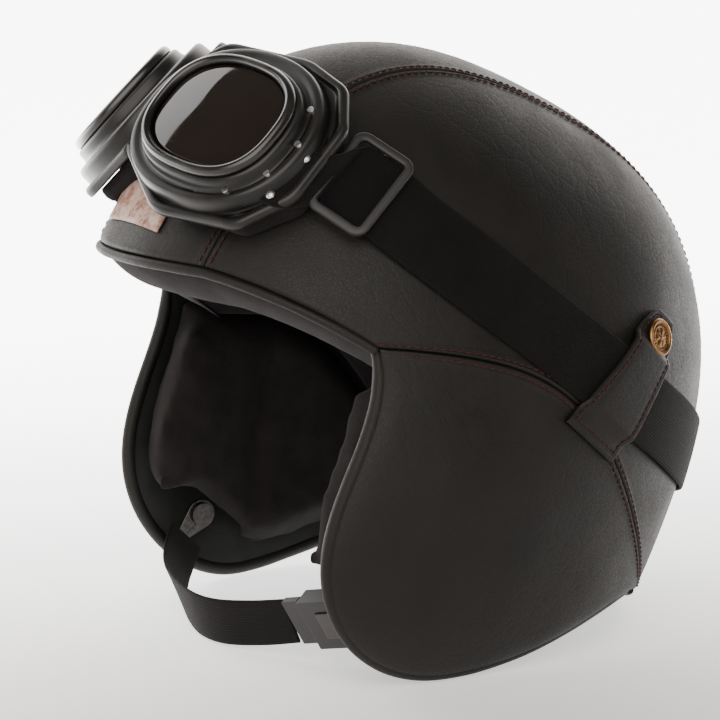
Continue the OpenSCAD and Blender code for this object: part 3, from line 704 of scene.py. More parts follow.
def ear_outline(seam_count, free_count):
    """The ear flap's outline: along the seam to the rear, then back round the free edge."""
    seam = bezier(EAR_SEAM, np.linspace(0, 1, seam_count))
    return np.concatenate([seam, ear_edge(np.linspace(1, 0, free_count + 2)[1:-1])])


def ear_spokes(outline, inside):
    """For each outline point, the shares along its spoke that lie the given distances inside it."""
    ahead, behind = np.roll(outline, -1, axis=0), np.roll(outline, 1, axis=0)
    along = unit(ahead - behind)
    spoke = unit(outline - EAR_MIDDLE)
    square = np.abs(along[:, 0] * spoke[:, 1] - along[:, 1] * spoke[:, 0])
    found = []
    for q, s in zip(outline, square):
        line = lift(EAR_MIDDLE + (q - EAR_MIDDLE) * FINE[:, None])
        run = runs(line)
        found.append(np.interp(run[-1] - inside / max(s, 0.4), run, FINE))
    return np.array(found)


def make_ear_leather():
    outline = ear_outline(SEAM_POINTS, FREE_POINTS)
    inner = np.linspace(0, 1, 15)[1:-1]
    close = ear_spokes(outline, EDGE + SEAM_GAP)[:, ::-1]
    spread = close[:, :1] * inner[None, :]
    share = np.concatenate([spread, close], axis=1)
    away = np.concatenate([np.full(len(inner), 1.0), EDGE[::-1]])
    sewn = np.zeros(len(outline))
    sewn[:SEAM_POINTS] = 1
    wide = np.concatenate([sewn[-4:], sewn, sewn[:4]])
    sewn = np.clip(np.convolve(wide, np.ones(9) / 9, "valid"), 0, 1)
    spots = EAR_MIDDLE + (outline - EAR_MIDDLE)[:, None, :] * share[:, :, None]
    ways = lift(spots)
    # A soft dome over the ear, and slack: fine ripples that fade out towards the edges, over a slower
    # unevenness
    dome = 1.1 * MM * np.exp(-(np.linalg.norm(spots - EAR_MIDDLE, axis=-1) / (34 * MM)) ** 2)
    height = (sewn[:, None] * seam_height(away)[None, :] + (1 - sewn)[:, None] * ear_hem(away)[None, :]
              + uneven(ways, 0.018, 0.30 * MM, 3.0) * ease(away / (9 * MM))[None, :]
              + uneven(ways, 0.050, 0.5 * MM, 7.0) + dome)
    top = np.swapaxes(at(ways, -height), 0, 1)
    under = np.swapaxes(at(ways, np.full(height.shape, LEATHER_T)), 0, 1)
    middle = lift(EAR_MIDDLE)
    spokes = ear_spokes(outline, np.array([STITCH_IN]))[:SEAM_POINTS]
    row = lift(EAR_MIDDLE + (outline[:SEAM_POINTS] - EAR_MIDDLE) * spokes)[3:-3]
    for side, place in SIDES:
        shape = disc(*[place(p) + CENTRE for p in (top, under, at(middle, -1.4 * MM), at(middle, LEATHER_T))])
        make_piece("ear_panel_" + side, shape, LEATHER, "helmet", ("ear_leather_" + side,))
        stitch_line("ear_stitches_lower_" + side, place(row), STITCH_HEIGHT)


# ---- Piping ----
def round_tube(path, radius, out, sides=16, floor=True):
    """Rings of a round tube along a path, each started from the direction out."""
    t = tangents(path)
    n = unit(out - np.sum(out * t, axis=1, keepdims=True) * t)
    rings = rounds(path, radius + np.zeros(len(path)), n, np.cross(t, n), sides)
    if floor:
        rings[..., 2] = np.maximum(rings[..., 2], -CENTRE[2])
    return rings


def make_piping():
    bead = 1.9 * MM
    for name, row, angle in (("brow_bead", crown_row(0), 0.85), ("nape_bead", crown_row(1), -0.85)):
        path = at(turn(row, angle), 2.0 * MM)
        path = resample(path, np.linspace(0, runs(path)[-1], 260))
        rings = round_tube(path, bead + uneven(path, 0.012, 0.08 * MM), normals(path))
        make_piece(name, tube(rings + CENTRE), LEATHER, "helmet",
                   (name.replace("bead", "piping"),))
    roll = 2.9 * MM
    edge = ear_edge(np.linspace(0.0, 1.0, 400))
    ahead = np.gradient(edge, axis=0)
    grown = edge + unit(np.stack([ahead[:, 1], -ahead[:, 0]], axis=1)) * 0.9 * MM
    path = at(lift(grown), roll + 1.1 * MM)
    path = resample(path, np.linspace(0, runs(path)[-1], 300))
    share = np.linspace(0, 1, len(path))
    size = roll * (0.75 + 0.25 * ease(np.minimum(share, 1 - share) / 0.05))
    rings = round_tube(path, size + uneven(path, 0.014, 0.10 * MM), normals(path), 20)
    for side, place in SIDES:
        make_piece("ear_edge_roll_" + side, tube(place(rings) + CENTRE), LEATHER, "helmet",
                   ("ear_piping_" + side,))


# ---- Linings and pads ----
def make_end_bands():
    """The padded strips of lining that close the layers at the brow and at the nape."""
    s = np.linspace(0, 1, 26)
    for name, seam_u, sign in (("brow_lining", 0, 1), ("nape_lining", 1, -1)):
        row = crown_row(seam_u, 60, 40)
        share = np.linspace(0, 1, len(row))
        ends = ease(np.minimum(share, 1 - share) / 0.10)
        depth = mix(SHELL_D + 1.0 * MM, INNER_D + 0.4 * MM, s)
        swell = 0.35 + 1.75 * np.sin(math.pi * np.clip(s, 0, 1)) ** 0.6
        wrinkle = uneven(at(row, 20 * MM), 0.02, 0.25)
        face, back = [], []
        for k in range(len(s)):
            angle = 0.35 + ends * (swell[k] - 0.35 + wrinkle * math.sin(math.pi * s[k]))
            face.append(at(turn(row, sign * angle), np.full(len(row), depth[k])))
            back.append(at(turn(row, sign * 0.15), np.full(len(row), depth[k])))
        piece = make_piece(name + "_band", sheet(face, back), LINING, "helmet", (name,))


def make_crown_lining():
    """Padded lining with sewn channels that run from the brow to the nape."""
    u = np.linspace(0.004, 0.996, 120)
    t = np.linspace(0.03, 0.97, 150)
    top, inner = [], []
    for k in range(len(u)):
        row = at(crown_row(u[k], 60, 30, 0.03), INNER_D)
        row = resample(row, np.linspace(0, runs(row)[-1], len(t)))
        channels = sum(np.exp(-(((t - c) * 0.36) / (1.6 * MM)) ** 2) for c in (0.2, 0.36, 0.5, 0.64, 0.8))
        soft = uneven(row, 0.022, 0.8 * MM, 11.0)
        inner.append(at(row, INNER_D - 2.2 * MM * channels + soft - 0.6 * MM))
        top.append(at(row, np.full(len(t), LINING_D)))
    piece = make_piece("crown_lining_pad", sheet(top, inner), LINING, "helmet", ("crown_lining",))


ANCHOR_Q = np.array([-40, 31]) * MM - np.array([0, CENTRE[2]])
PAD_INSIDE = 32 * MM
CLOTH_STEPS = 20


def swollen(points, faces, voxel, pressure, cap):
    """Closed form as stuffed fabric: remeshed, swelled by cloth pressure, each point moved at most cap."""
    obj = linked("pad_start", closed_mesh("pad_start", points, faces))
    bpy.context.view_layer.objects.active = obj
    remesh = obj.modifiers.new("remesh", "REMESH")
    remesh.mode, remesh.voxel_size = "VOXEL", voxel
    bpy.ops.object.modifier_apply(modifier=remesh.name)
    rest = np.array([v.co for v in obj.data.vertices])
    cloth = obj.modifiers.new("cloth", "CLOTH")
    cloth.settings.use_pressure = True
    cloth.settings.uniform_pressure_force = pressure
    cloth.settings.effector_weights.gravity = 0
    scene = bpy.context.scene
    for step in range(1, CLOTH_STEPS + 1):
        scene.frame_set(step)
    shape = obj.evaluated_get(bpy.context.evaluated_depsgraph_get()).to_mesh()
    moved = np.array([v.co for v in shape.vertices]) - rest
    size = np.linalg.norm(moved, axis=1, keepdims=True)
    rest = rest + moved * np.minimum(1, cap / np.maximum(size, 1e-9))
    made = [list(p.vertices) for p in obj.data.polygons]
    bpy.data.objects.remove(obj)
    scene.frame_set(1)
    return rest, made


def pocket(q):
    return 1 - ease((np.linalg.norm(q - ANCHOR_Q, axis=-1) - 22 * MM) / (14 * MM))


def make_cheek_pads():
    """Box cushions: cloth pressure swells them, then a sewn crease runs down the inner face."""
    outline = ear_outline(44, 72)
    # Cut back low down in front, where the chin strap swings past
    low_front = np.linalg.norm(outline - np.array([-56, -76]) * MM, axis=1)
    reach = 0.975 - 0.09 * (1 - ease((low_front - 12 * MM) / (24 * MM)))
    rings = np.linspace(0, 1, 15)[1:]
    spots = EAR_MIDDLE + (outline - EAR_MIDDLE)[None, :, :] * (rings[:, None] * reach[None, :])[..., None]
    back = at(lift(spots), PAD_D + 0.6 * MM + 11 * MM * pocket(spots))
    corner = 1.5 * MM * (rings == 1)[:, None]
    radial = at(lift(spots), PAD_INSIDE - 1.5 * MM - corner + np.zeros(spots.shape[:2]))
    # In front, above the chin strap, the wall runs straight inwards from the ear's edge
    y, z = outline[:, 0] / MM, outline[:, 1] / MM
    forward = ease((-30 - y) / 18) * ease((z + 54) / 14) * ease((46 - z) / 16) * (1 - pocket(outline))
    straight = np.concatenate([radial[..., :1] - 5.0 * MM, 0.97 * spots], axis=-1)
    front = mix(radial, straight, (forward[None, :] * rings[:, None] ** 2)[..., None])
    middle = lift(EAR_MIDDLE)
    points, faces = disc(back, front, at(middle, PAD_D + 0.6 * MM), at(middle, PAD_INSIDE - 1.5 * MM))
    points, faces = swollen(points, faces, 4 * MM, 4.0, 2.5 * MM)
    depth = HALF_WIDTH * (1 - gauge(points))
    inner = ease((depth - 22 * MM) / (6 * MM))
    # The crease leans forward as it goes down
    off_crease = (points[:, 1] - (-10 * MM + 0.25 * points[:, 2])) / math.hypot(1, 0.25)
    level = np.exp(-(points[:, 2] / (55 * MM)) ** 4)
    sink = inner * level * 5.0 * MM * np.exp(-(off_crease / (4.5 * MM)) ** 2)
    folds = inner * uneven(points, 0.02, 1.2 * MM, 5.0)
    points = points + normals(points) * (sink + folds)[:, None]
    for side, place in SIDES:
        piece = make_piece("cheek_cushion_" + side, (place(points) + CENTRE, faces), PAD_FABRIC, "helmet",
                           ("cheek_pad_" + side,))
        relax = piece.modifiers.new("relax", "SMOOTH")
        relax.factor, relax.iterations = 0.5, 3
        smooth = piece.modifiers.new("subdivision", "SUBSURF")
        smooth.levels = smooth.render_levels = 1


# ---- Goggle band, slider and snap tabs ----
BAND_W, BAND_T, BAND_LIFT = 30 * MM, 1.6 * MM, 0.7 * MM
# Where a tape has points across it, closer together towards its edges
TAPE_ACROSS = np.array([-1, -0.97, -0.9, -0.6, -0.3, 0, 0.3, 0.6, 0.9, 0.97, 1])
SLIDER_A, BAND_TAB_A, BAND_FRONT_A = 124, 57, 134


def tape(path, across, out, half_width, half_thick):
    """The two faces of a tape along a path, from its directions across and out."""
    width = half_width * np.ones(len(path))
    spots = path[:, None, :] + across[:, None, :] * (TAPE_ACROSS[None, :] * width[:, None])[..., None]
    rise = out[:, None, :] * half_thick[None, :, None]
    return spots + rise, spots - rise


def band_z(y):
    """The plane that the band lies in, bent a little."""
    return 63.5 * MM - 0.80 * y + 0.9 * y * y


def band_mid(a):
    """The band's middle line on the leather, at angles a from the back of the helmet."""
    a = np.radians(np.asarray(a, float))
    low, high = np.full(a.shape, 0.06), np.full(a.shape, 0.18)
    for _ in range(30):
        m = (low + high) / 2
        p = np.stack([m * np.sin(a), m * np.cos(a), band_z(m * np.cos(a))], axis=-1)
        inside = gauge(p) < 1
        low, high = np.where(inside, m, low), np.where(inside, high, m)
    return np.stack([low * np.sin(a), low * np.cos(a), band_z(low * np.cos(a))], axis=-1)


def band_rise(a):
    """Height of the band's underside over the leather: it rises to thread the slider."""
    threaded = 2.2 * np.exp(-((a - SLIDER_A) / 11) ** 2)
    slack = 0.9 * np.exp(-((a - SLIDER_A + 6.5) / 5) ** 2)
    return BAND_LIFT + MM * (threaded + slack)


def band_grid(a0, a1, count):
    a = np.linspace(a0, a1, count)
    p = band_mid(a)
    along = unit(band_mid(a + 0.5) - band_mid(a - 0.5))
    across = np.cross(normals(p), along)
    w = np.array([-1, -0.985, -0.95, -0.9, -0.75, -0.5, -0.25, 0, 0.25, 0.5, 0.75, 0.9, 0.95, 0.985, 1])
    thin = np.array([0.75, 0.3, 0.08, 0, 0, 0, 0, 0, 0, 0, 0, 0, 0.08, 0.3, 0.75]) * BAND_T / 2
    width = BAND_W / 2 * (1 + 0.012 * np.sin(a * 0.21) - 0.02 * np.sin(a * 0.05))
    spots = p[:, None, :] + across[:, None, :] * w[None, :, None] * width[:, None, None]
    wavy = uneven(spots, 0.03, 0.20 * MM, 2.0) + 0.15 * MM
    rise = band_rise(a)[:, None] + wavy
    return at(spots, -(rise + BAND_T - thin[None, :])), at(spots, -(rise + thin[None, :]))


def make_bands():
    top, under = band_grid(-BAND_TAB_A - 0.2, BAND_TAB_A + 0.2, 160)
    make_piece("elastic_rear", sheet(top, under), ELASTIC, "helmet", ("band_rear",))
    start = band_mid(np.array([BAND_TAB_A + 6.0]))[0]
    end = band_mid(np.array([SLIDER_A - 9.0]))[0]
    top, under = band_grid(BAND_TAB_A + 0.2, BAND_FRONT_A - 6, 130)
    for side, place in SIDES:
        piece = make_piece("elastic_" + side, sheet(top, under, place), ELASTIC, None,
                           ("band_" + side,))
        place(start) + CENTRE
        place(end) + CENTRE
        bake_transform(piece)


def axes_at(p, along):
    """Axes at a point on the leather: x along, y across, z outwards."""
    n = normals(p)
    x = unit(along - np.dot(along, n) * n)
    return np.array([x, np.cross(n, x), n]).T


def rounded_loop(a, b, r, corner=9):
    """A rectangle a by b with corner radius r, as points in order."""
    points = []
    for k, (sx, sy) in enumerate(((1, 1), (-1, 1), (-1, -1), (1, -1))):
        for w in np.radians(np.linspace(90 * k, 90 * k + 90, corner)):
            points.append((sx * (a / 2 - r) + r * math.cos(w), sy * (b / 2 - r) + r * math.sin(w)))
    return np.array(points)


def make_sliders():
    along_len, across_len, bar = 26 * MM, 38 * MM, 3.6 * MM
    before, p, after = band_mid(SLIDER_A + np.array([-0.5, 0.0, 0.5]))
    along = after - before
    axes = axes_at(p, along)
    height = float(band_rise(np.array(SLIDER_A))) + BAND_T + 2.2 * MM
    loop = rounded_loop(along_len - bar, across_len - bar, 3.6 * MM)
    inner = rounded_loop(along_len - bar - 2 * MM, across_len - bar - 2 * MM, 2.6 * MM)
    out = unit(loop - inner)
    w = np.radians(np.arange(0, 360, 15))
    # A squarish bar section, a little crowned on top
    section = np.stack([np.sign(np.cos(w)) * np.abs(np.cos(w)) ** 0.55 * bar / 2,
                        np.sign(np.sin(w)) * np.abs(np.sin(w)) ** 0.6 * 1.4 * MM], axis=1)
    rings = np.zeros((len(loop), len(w), 3))
    rings[..., :2] = loop[:, None, :] + out[:, None, :] * section[None, :, :1]
    # The frame bows with the helmet under it
    rings[..., 2] = height + section[None, :, 1] - 0.9 * MM * (rings[..., 1] / (across_len / 2)) ** 2
    placed = rings @ axes.T + p
    bar_path = np.stack([np.zeros(24), np.linspace(-0.46, 0.46, 24) * across_len, np.full(24, 0.0)], axis=1)
    bar_path[:, 2] = 1.4 * MM + 2.6 * MM * (np.abs(bar_path[:, 1]) / (0.46 * across_len)) ** 8
    bar_rings = round_tube(bar_path, 1.0 * MM, np.array([0, 0, 1.0]), 12, False)
    bar_placed = bar_rings @ axes.T + p
    for side, place in SIDES:
        make_piece("slider_frame_" + side, tube(place(placed) + CENTRE, True), PLASTIC, "slider_" + side,
                   ("band_slider_" + side,))
        make_piece("slider_bar_" + side, tube(place(bar_placed) + CENTRE), STEEL, "slider_" + side)


TAB_BASE = np.array([38.6, 11.3]) * MM
TAB_RUN = np.array([35, 29.2]) * MM
TAB_ACROSS = unit(np.array([24.2, -20.0]))
TAB_T = 2 * MM
TAB_STAND = 0.5 * MM
SNAP_TOP = TAB_STAND + TAB_T
TAB_STITCH_IN = 2.4 * MM
TAB_THREAD = {"pitch": 2.9 * MM, "radius": 0.30 * MM}


def tab_lift(s):
    """Height of the tab's underside, up over the band and down again."""
    over_band = BAND_LIFT + BAND_T + 0.2 * MM
    return TAB_STAND + over_band * ease(s / 0.09) * (1 - ease((s - 0.80) / 0.14))


def tab_half(s):
    """Half the tab's width: it narrows to a round tip."""
    straight = mix(15 * MM, 11.5 * MM, ease(s / 0.8))
    tip = 11.5 * MM * np.sqrt(np.clip(1 - ((s - 0.85) / 0.42) ** 2, 0.08, None))
    return np.where(s < 0.85, straight, tip)


def tab_spot(s, w):
    """A place on the leather under the tab: s along it, with the snap at 1, and w across from -1 to 1."""
    s, w = np.asarray(s, float), np.asarray(w, float)
    return lift(TAB_BASE + TAB_RUN * s[..., None] + TAB_ACROSS * (w * tab_half(s))[..., None])


def make_tabs():
    s = np.concatenate([np.linspace(-0.17, 0.84, 64), np.linspace(0.85, 1.235, 40)])
    w = np.concatenate([[-1, -0.985, -0.95, -0.9, -0.83], np.linspace(-0.7, 0.7, 12),
                        [0.83, 0.9, 0.95, 0.985, 1]])
    grid_s, grid_w = np.meshgrid(s, w, indexing="ij")
    spots = tab_spot(grid_s, grid_w)
    side_in = (1 - np.abs(grid_w)) * tab_half(grid_s)
    end_in = np.minimum(grid_s - s[0], s[-1] - grid_s) * 43.7 * MM
    inside = np.minimum(side_in, end_in)
    stitched = 0.35 * MM * np.exp(-((inside - TAB_STITCH_IN) / (0.8 * MM)) ** 2)
    from_snap = np.linalg.norm(spots - tab_spot(1.0, 0.0), axis=-1)
    press = 0.1 * MM * np.exp(-(from_snap / (9 * MM)) ** 6)
    low = tab_lift(grid_s) + uneven(spots, 0.014, 0.18 * MM, 9.0)
    top = at(spots, -(low + TAB_T - rolled(inside, 0.9 * MM, 1.1 * MM) - stitched - press))
    under = at(spots, -(low + 0.2 * MM))
    run, tail = np.linspace(-0.12, 0.82, 120), np.linspace(0.82, 1.18, 50)
    run_w, tail_w = [(tab_half(t) - TAB_STITCH_IN) / tab_half(t) for t in (run, tail)]
    base_row = tab_spot(np.full(40, -0.09), np.linspace(-0.8, 0.8, 40))
    rim = np.concatenate([tab_spot(tail, -tail_w), tab_spot(tail, tail_w)[::-1]])
    rim_rise = np.concatenate([tab_lift(tail), tab_lift(tail)[::-1]]) + TAB_T - 0.3 * MM
    for side, place in SIDES:
        piece = make_piece("tab_strap_" + side, sheet(top, under, place), TAB_LEATHER, None,
                           ("snap_tab_" + side, "tab_anchor_" + side))
        start, end = place(tab_spot(-0.05, 0.0)) + CENTRE, place(tab_spot(0.10, 0.0)) + CENTRE
        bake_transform(piece)
        for edge, edge_w in (("front", -run_w), ("rear", run_w)):
            made = stitch_line("tab_stitches_%s_%s" % (edge, side), place(tab_spot(run, edge_w)),
                               tab_lift(run) + TAB_T - 0.3 * MM, body=None, **TAB_THREAD)
            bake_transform(made)
        stitch_line("tab_stitches_base_" + side, place(base_row), np.full(40, SNAP_TOP - 0.25 * MM),
                    **TAB_THREAD)
        stitch_line("tab_stitches_tip_" + side, place(rim), rim_rise, body="tab_" + side, **TAB_THREAD)
        make_snap(side, place)


def lathe(shape_mm, count, ripple=None):
    """Rings of a turned form about +Z from (radius, height) in mm; ripple(r, angle) lifts points."""
    w = np.arange(count) * 2 * math.pi / count
    rings = []
    for r, z in [(r * MM, z * MM) for r, z in shape_mm]:
        up = ripple(r, w) if ripple else 0
        rings.append(np.stack([r * np.cos(w), r * np.sin(w), z + up + np.zeros(count)], axis=1))
    return np.array(rings)


def make_snap(side, place):
    """Cap of the snap: a rolled rim round a disc with a plain rosette inside a ring of beads."""
    p = at(tab_spot(1.0, 0.0), 0)
    axes = axes_at(p, np.array([0, 1.0, 0]))
    r_cap = 7.5

    def relief(r, w):
        if 4.2 * MM < r < 5.0 * MM:
            return 0.16 * MM * np.cos(24 * w)
        if 0.8 * MM < r < 3.9 * MM:
            return 0.22 * MM * np.cos(6 * w) * math.sin(math.pi * (r / MM - 0.8) / 3.1)
        return 0

    shape = [(0.02, 0.0), (r_cap - 0.8, 0.0), (r_cap - 0.25, 0.25), (r_cap, 0.8), (r_cap - 0.1, 1.4),
             (r_cap - 0.5, 1.85), (r_cap - 0.95, 2.0), (r_cap - 1.4, 1.85), (r_cap - 1.75, 1.45),
             (r_cap - 2.0, 1.15), (5.2, 1.15), (5.0, 1.25), (4.8, 1.38), (4.6, 1.42), (4.4, 1.38),
             (4.2, 1.25), (4.0, 1.2), (3.7, 1.25), (3.2, 1.35), (2.6, 1.48), (2.0, 1.55), (1.4, 1.58),
             (0.9, 1.6), (0.7, 1.75), (0.45, 1.9), (0.02, 1.95)]
    rings = lathe(shape, 96, relief)
    rings[..., 2] += SNAP_TOP + 0.30 * MM
    make_piece("snap_face_" + side, tube(place(rings @ axes.T + p) + CENTRE), BRASS, "tab_" + side,
               ("snap_cap_" + side,))


# ---- Goggles ----
EYE = np.array([41.8, -90.5, 131]) * MM
GOGGLE_TILT, GOGGLE_WRAP, EYE_ROLL = 43, 30, -17


EYE_AXES = np.array(Matrix.Rotation(math.radians(GOGGLE_WRAP), 3, "Z")
                    @ Matrix.Rotation(math.radians(90 - GOGGLE_TILT), 3, "X")
                    @ Matrix.Rotation(math.radians(EYE_ROLL), 3, "Z"))
ANGLES = np.radians(np.arange(0, 360, 1.5))
FLANGE_CORNERS = [(-35, 37.5), (6, 42), (29, 36.5), (42, 20), (42.5, -13), (28, -33), (-10, -39.5),
                  (-43, -20), (-51.5, 8)]


def oval_reach(a, b, e, mid=(0, 0)):
    """Distance from the lens axis to a superellipse, at each angle."""
    w = np.linspace(0, 2 * math.pi, 1441)[:-1]
    x = a * np.sign(np.cos(w)) * np.abs(np.cos(w)) ** (2 / e) + mid[0]
    y = b * np.sign(np.sin(w)) * np.abs(np.sin(w)) ** (2 / e) + mid[1]
    return reach_of(np.stack([x, y], axis=1)) * MM


def reach_of(points):
    """Distance from the middle to an outline, at each angle."""
    angle = np.unwrap(np.arctan2(points[:, 1], points[:, 0]))
    order = np.argsort(np.mod(angle, 2 * math.pi))
    return np.interp(ANGLES, np.mod(angle, 2 * math.pi)[order], np.hypot(points[:, 0], points[:, 1])[order],
                     period=2 * math.pi)


def rounded_corners(corners, share):
    """A polygon's outline with each corner replaced by a curve that takes this share of both sides."""
    corners = np.array(corners, float)
    points = []
    for k in range(len(corners)):
        a, b, c = corners[k - 1], corners[k], corners[(k + 1) % len(corners)]
        start, end = mix(b, a, share), mix(b, c, share)
        for t in np.linspace(0, 1, 14):
            points.append((1 - t) ** 2 * start + 2 * t * (1 - t) * b + t * t * end)
    dense = np.array(points + points[:1])
    return resample(dense, np.linspace(0, runs(dense)[-1], 1441)[:-1])


FLANGE = reach_of(rounded_corners(FLANGE_CORNERS, 0.15)) * MM
TIER_TWO = oval_reach(40, 35, 2.2, (-2, 1.2))
TIER_THREE = oval_reach(32.5, 28, 2.4)
RIM_OUT = oval_reach(30.7, 26.2, 2.5)
RIM_IN = oval_reach(26.8, 22.3, 2.5)
BORE = oval_reach(24.5, 20, 2.5)


def eye_ring(reach, height):
    """A ring round the lens axis, in the lens's own axes."""
    return np.stack([reach * np.cos(ANGLES), reach * np.sin(ANGLES), height + np.zeros(len(reach))], axis=1)


def on_face(rings, keep_off=0.2 * MM):
    """Rings placed at the left eye and cut off at the helmet's middle."""
    placed = np.array(rings) @ EYE_AXES.T + EYE
    placed[..., 0] = np.maximum(placed[..., 0], keep_off)
    return placed


def eye_loft(tiers):
    """Rings from each tier's reach and its steps of (inset, height) in mm."""
    return on_face([eye_ring(reach - inset * MM, height * MM)
                    for reach, steps in tiers for inset, height in steps])


def make_goggle_frame():
    moulding = ((FLANGE, ((11, -17), (3, -17.05), (1.0, -17), (0.3, -16.7), (0, -16.1), (0, -14.6),
                          (0.25, -13.7), (0.8, -13.05), (1.6, -12.75), (2.8, -12.7), (3.5, -12.95),
                          (3.9, -13.5), (4.4, -14.0), (5.2, -14.1))),
                (TIER_TWO, ((-1.3, -13.9), (-0.7, -13.4), (-0.3, -12.4), (0.0, -8.6), (0.3, -7.4),
                            (0.9, -6.6), (1.8, -6.2), (3.0, -6.1), (4.0, -6.4))),
                (TIER_THREE, ((-1.6, -6.5), (-0.9, -6.2), (-0.35, -5.4), (0, -4.2), (0.1, -2.4),
                              (0.5, -1.5), (1.3, -1.0))),
                (RIM_OUT, ((0.5, -0.9),)),
                (RIM_IN, ((-1.4, -0.9), (-0.5, -1.4), (-0.4, -3.0))),
                (BORE, ((0, -3.1), (0, -5), (-1.0, -9), (-4.0, -14), (-9, -16.8))))
    ring = ((RIM_OUT, ((0.4, -0.75), (0.0, -0.2), (0.0, 0.9), (0.25, 1.8), (0.9, 2.6), (1.8, 3.0),
                       (2.6, 2.95), (3.3, 2.5))),
            (RIM_IN, ((-0.35, 1.7), (-0.05, 0.8), (0.0, 0.0), (0.0, -0.6), (-0.6, -0.75))))
    frame_rings, rim_rings, lens_rings, pad_rings = eye_loft(moulding), eye_loft(ring), lens(), face_pad()
    for side, place in SIDES:
        make_piece("eyepiece_" + side, tube(place(frame_rings) + CENTRE, True), RUBBER, "goggles",
                   ("goggle_frame",))
        make_piece("rim_ring_" + side, tube(place(rim_rings) + CENTRE, True), RIM, "goggles",
                   ("lens_rim_" + side,))
        make_piece("lens_glass_" + side, tube(place(lens_rings) + CENTRE), LENS, "goggles",
                   ("lens_" + side,))
        piece = make_piece("face_pad_" + side, tube(place(pad_rings) + CENTRE, True), PAD_FABRIC,
                           "goggles", ("face_foam_" + side,))


def lens():
    """A bowed disc: its inner face, then its outer face, each from the rim to the middle."""
    outline = oval_reach(27.0, 22.5, 2.5)
    return on_face([eye_ring(outline * f, (base + bow * (1 - f * f)) * MM)
                    for base, bow in ((-1.2, 2.1), (0.4, 2.2)) for f in np.linspace(1, 0.03, 16)])


def resting_height(inset):
    """Height, down the lens axis, at which each point of the pad meets the leather."""
    r = FLANGE - inset * MM
    found = np.full(len(r), -33.0)
    open_still = np.ones(len(r), bool)
    for z in np.arange(-18.5, -34, -0.25):
        met = open_still & (gauge(eye_ring(r, z * MM) @ EYE_AXES.T + EYE) < 1.004)
        found[met] = z
        open_still &= ~met
    wide = np.concatenate([found[-6:], found, found[:6]])
    return np.convolve(wide, np.ones(13) / 13, "valid")


# Where the foam starts, down the lens axis in mm
PAD_TOP = -17.3


def face_pad():
    """The foam ring, from the flange down to where it rests on the leather."""
    rings = []
    for inset, meets, share in ((5.5, 7, 0), (4.7, 7, 0.15), (4.3, 7, 0.5), (4.9, 7, 0.85), (6.6, 8, 1),
                                (9.5, 10, 1), (12.0, 12, 0.95), (13.4, 12, 0.7), (13.5, 12, 0.3),
                                (12.5, 12, 0)):
        height = mix(PAD_TOP, resting_height(meets), share) * MM
        rings.append(eye_ring(FLANGE - inset * MM, height))
    return on_face(rings, 0.9 * MM)


def make_band_ends():
    """Where the band comes up over the flange to its two rivets on the moulding."""
    before, p, after = band_mid(SLIDER_A + np.array([3.5, 4.0, 4.5]))
    along = unit(after - before)
    n = normals(p)
    across = np.cross(n, along)
    start = (p + n * 3.4 * MM - EYE) @ EYE_AXES
    start_way, start_across = along @ EYE_AXES, across @ EYE_AXES
    end = np.array([33.5, -7.0, -11.6]) * MM
    end_way = unit(np.array([-1.0, 0.15, 0.05]))
    end_across = unit(np.array([0.15, 1.0, 0.0]))
    if start_across @ end_across < 0:
        end_across = -end_across
    t = np.linspace(0, 1, 40)[:, None]
    path = cubic(start, start + start_way * 4 * MM, end - end_way * 14 * MM, end, t)
    wide = unit(mix(start_across, end_across, ease(t)))
    out = np.cross(wide, tangents(path))
    if out[-1, 2] < 0:
        out = -out
    thin = np.array([0.4, 0.85, 1, 1, 1, 1, 1, 1, 1, 0.85, 0.4]) * BAND_T / 2
    half_width = mix(BAND_W, 0.88 * BAND_W, ease(t[:, 0])) / 2
    top, under = tape(path, wide, out, half_width, thin)
    cap = lathe(((0.02, 0), (1.9, 0), (1.9, 0.3), (1.5, 0.9), (0.8, 1.25), (0.02, 1.35)), 28)
    for side, place in SIDES:
        shape = sheet(top @ EYE_AXES.T + EYE, under @ EYE_AXES.T + EYE, place)
        make_piece("band_end_" + side, shape, ELASTIC, "goggles")
        for name, share in (("upper", 0.62), ("lower", -0.62)):
            spot = end - end_way * 2.6 * MM + end_across * share * BAND_W / 2 + np.array([0, 0, 0.8 * MM])
            shape = tube(place((cap + spot) @ EYE_AXES.T + EYE) + CENTRE)
            make_piece("band_rivet_%s_%s" % (name, side), shape, STEEL, "goggles")


def make_bridge():
    """The moulded bridge over the join of the two eyepieces."""
    tilt = math.radians(GOGGLE_TILT)
    up = np.array([0, math.sin(tilt), math.cos(tilt)])
    out = np.array([0, -math.cos(tilt), math.sin(tilt)])
    x = np.linspace(-15, 15, 41) * MM
    v = np.linspace(-1, 1, 33)
    face, back = [], []
    normal = EYE_AXES[:, 2]
    for xi in x:
        reach = mix(8.0, 15.0, (abs(xi) / (15 * MM)) ** 1.5) * MM
        base = np.array([math.hypot(xi, 4 * MM), EYE[1], EYE[2]])
        spots = base + up[None, :] * (v * reach + 1.0 * MM)[:, None]
        level = (-11.2 * MM - (spots - EYE) @ normal) / (out @ normal)
        placed = spots + out * level[:, None]
        placed[:, 0] = xi
        waist = 0.6 * MM * np.cos(math.pi * v * 2) * np.exp(-(xi / (6 * MM)) ** 2)
        crown = 1.8 * MM * (1 - np.abs(v) ** 4) + waist
        face.append(placed + out * crown[:, None])
        back.append(placed - out * 3.0 * MM)
    make_piece("goggle_bridge", sheet(face, back), RUBBER, "goggles")


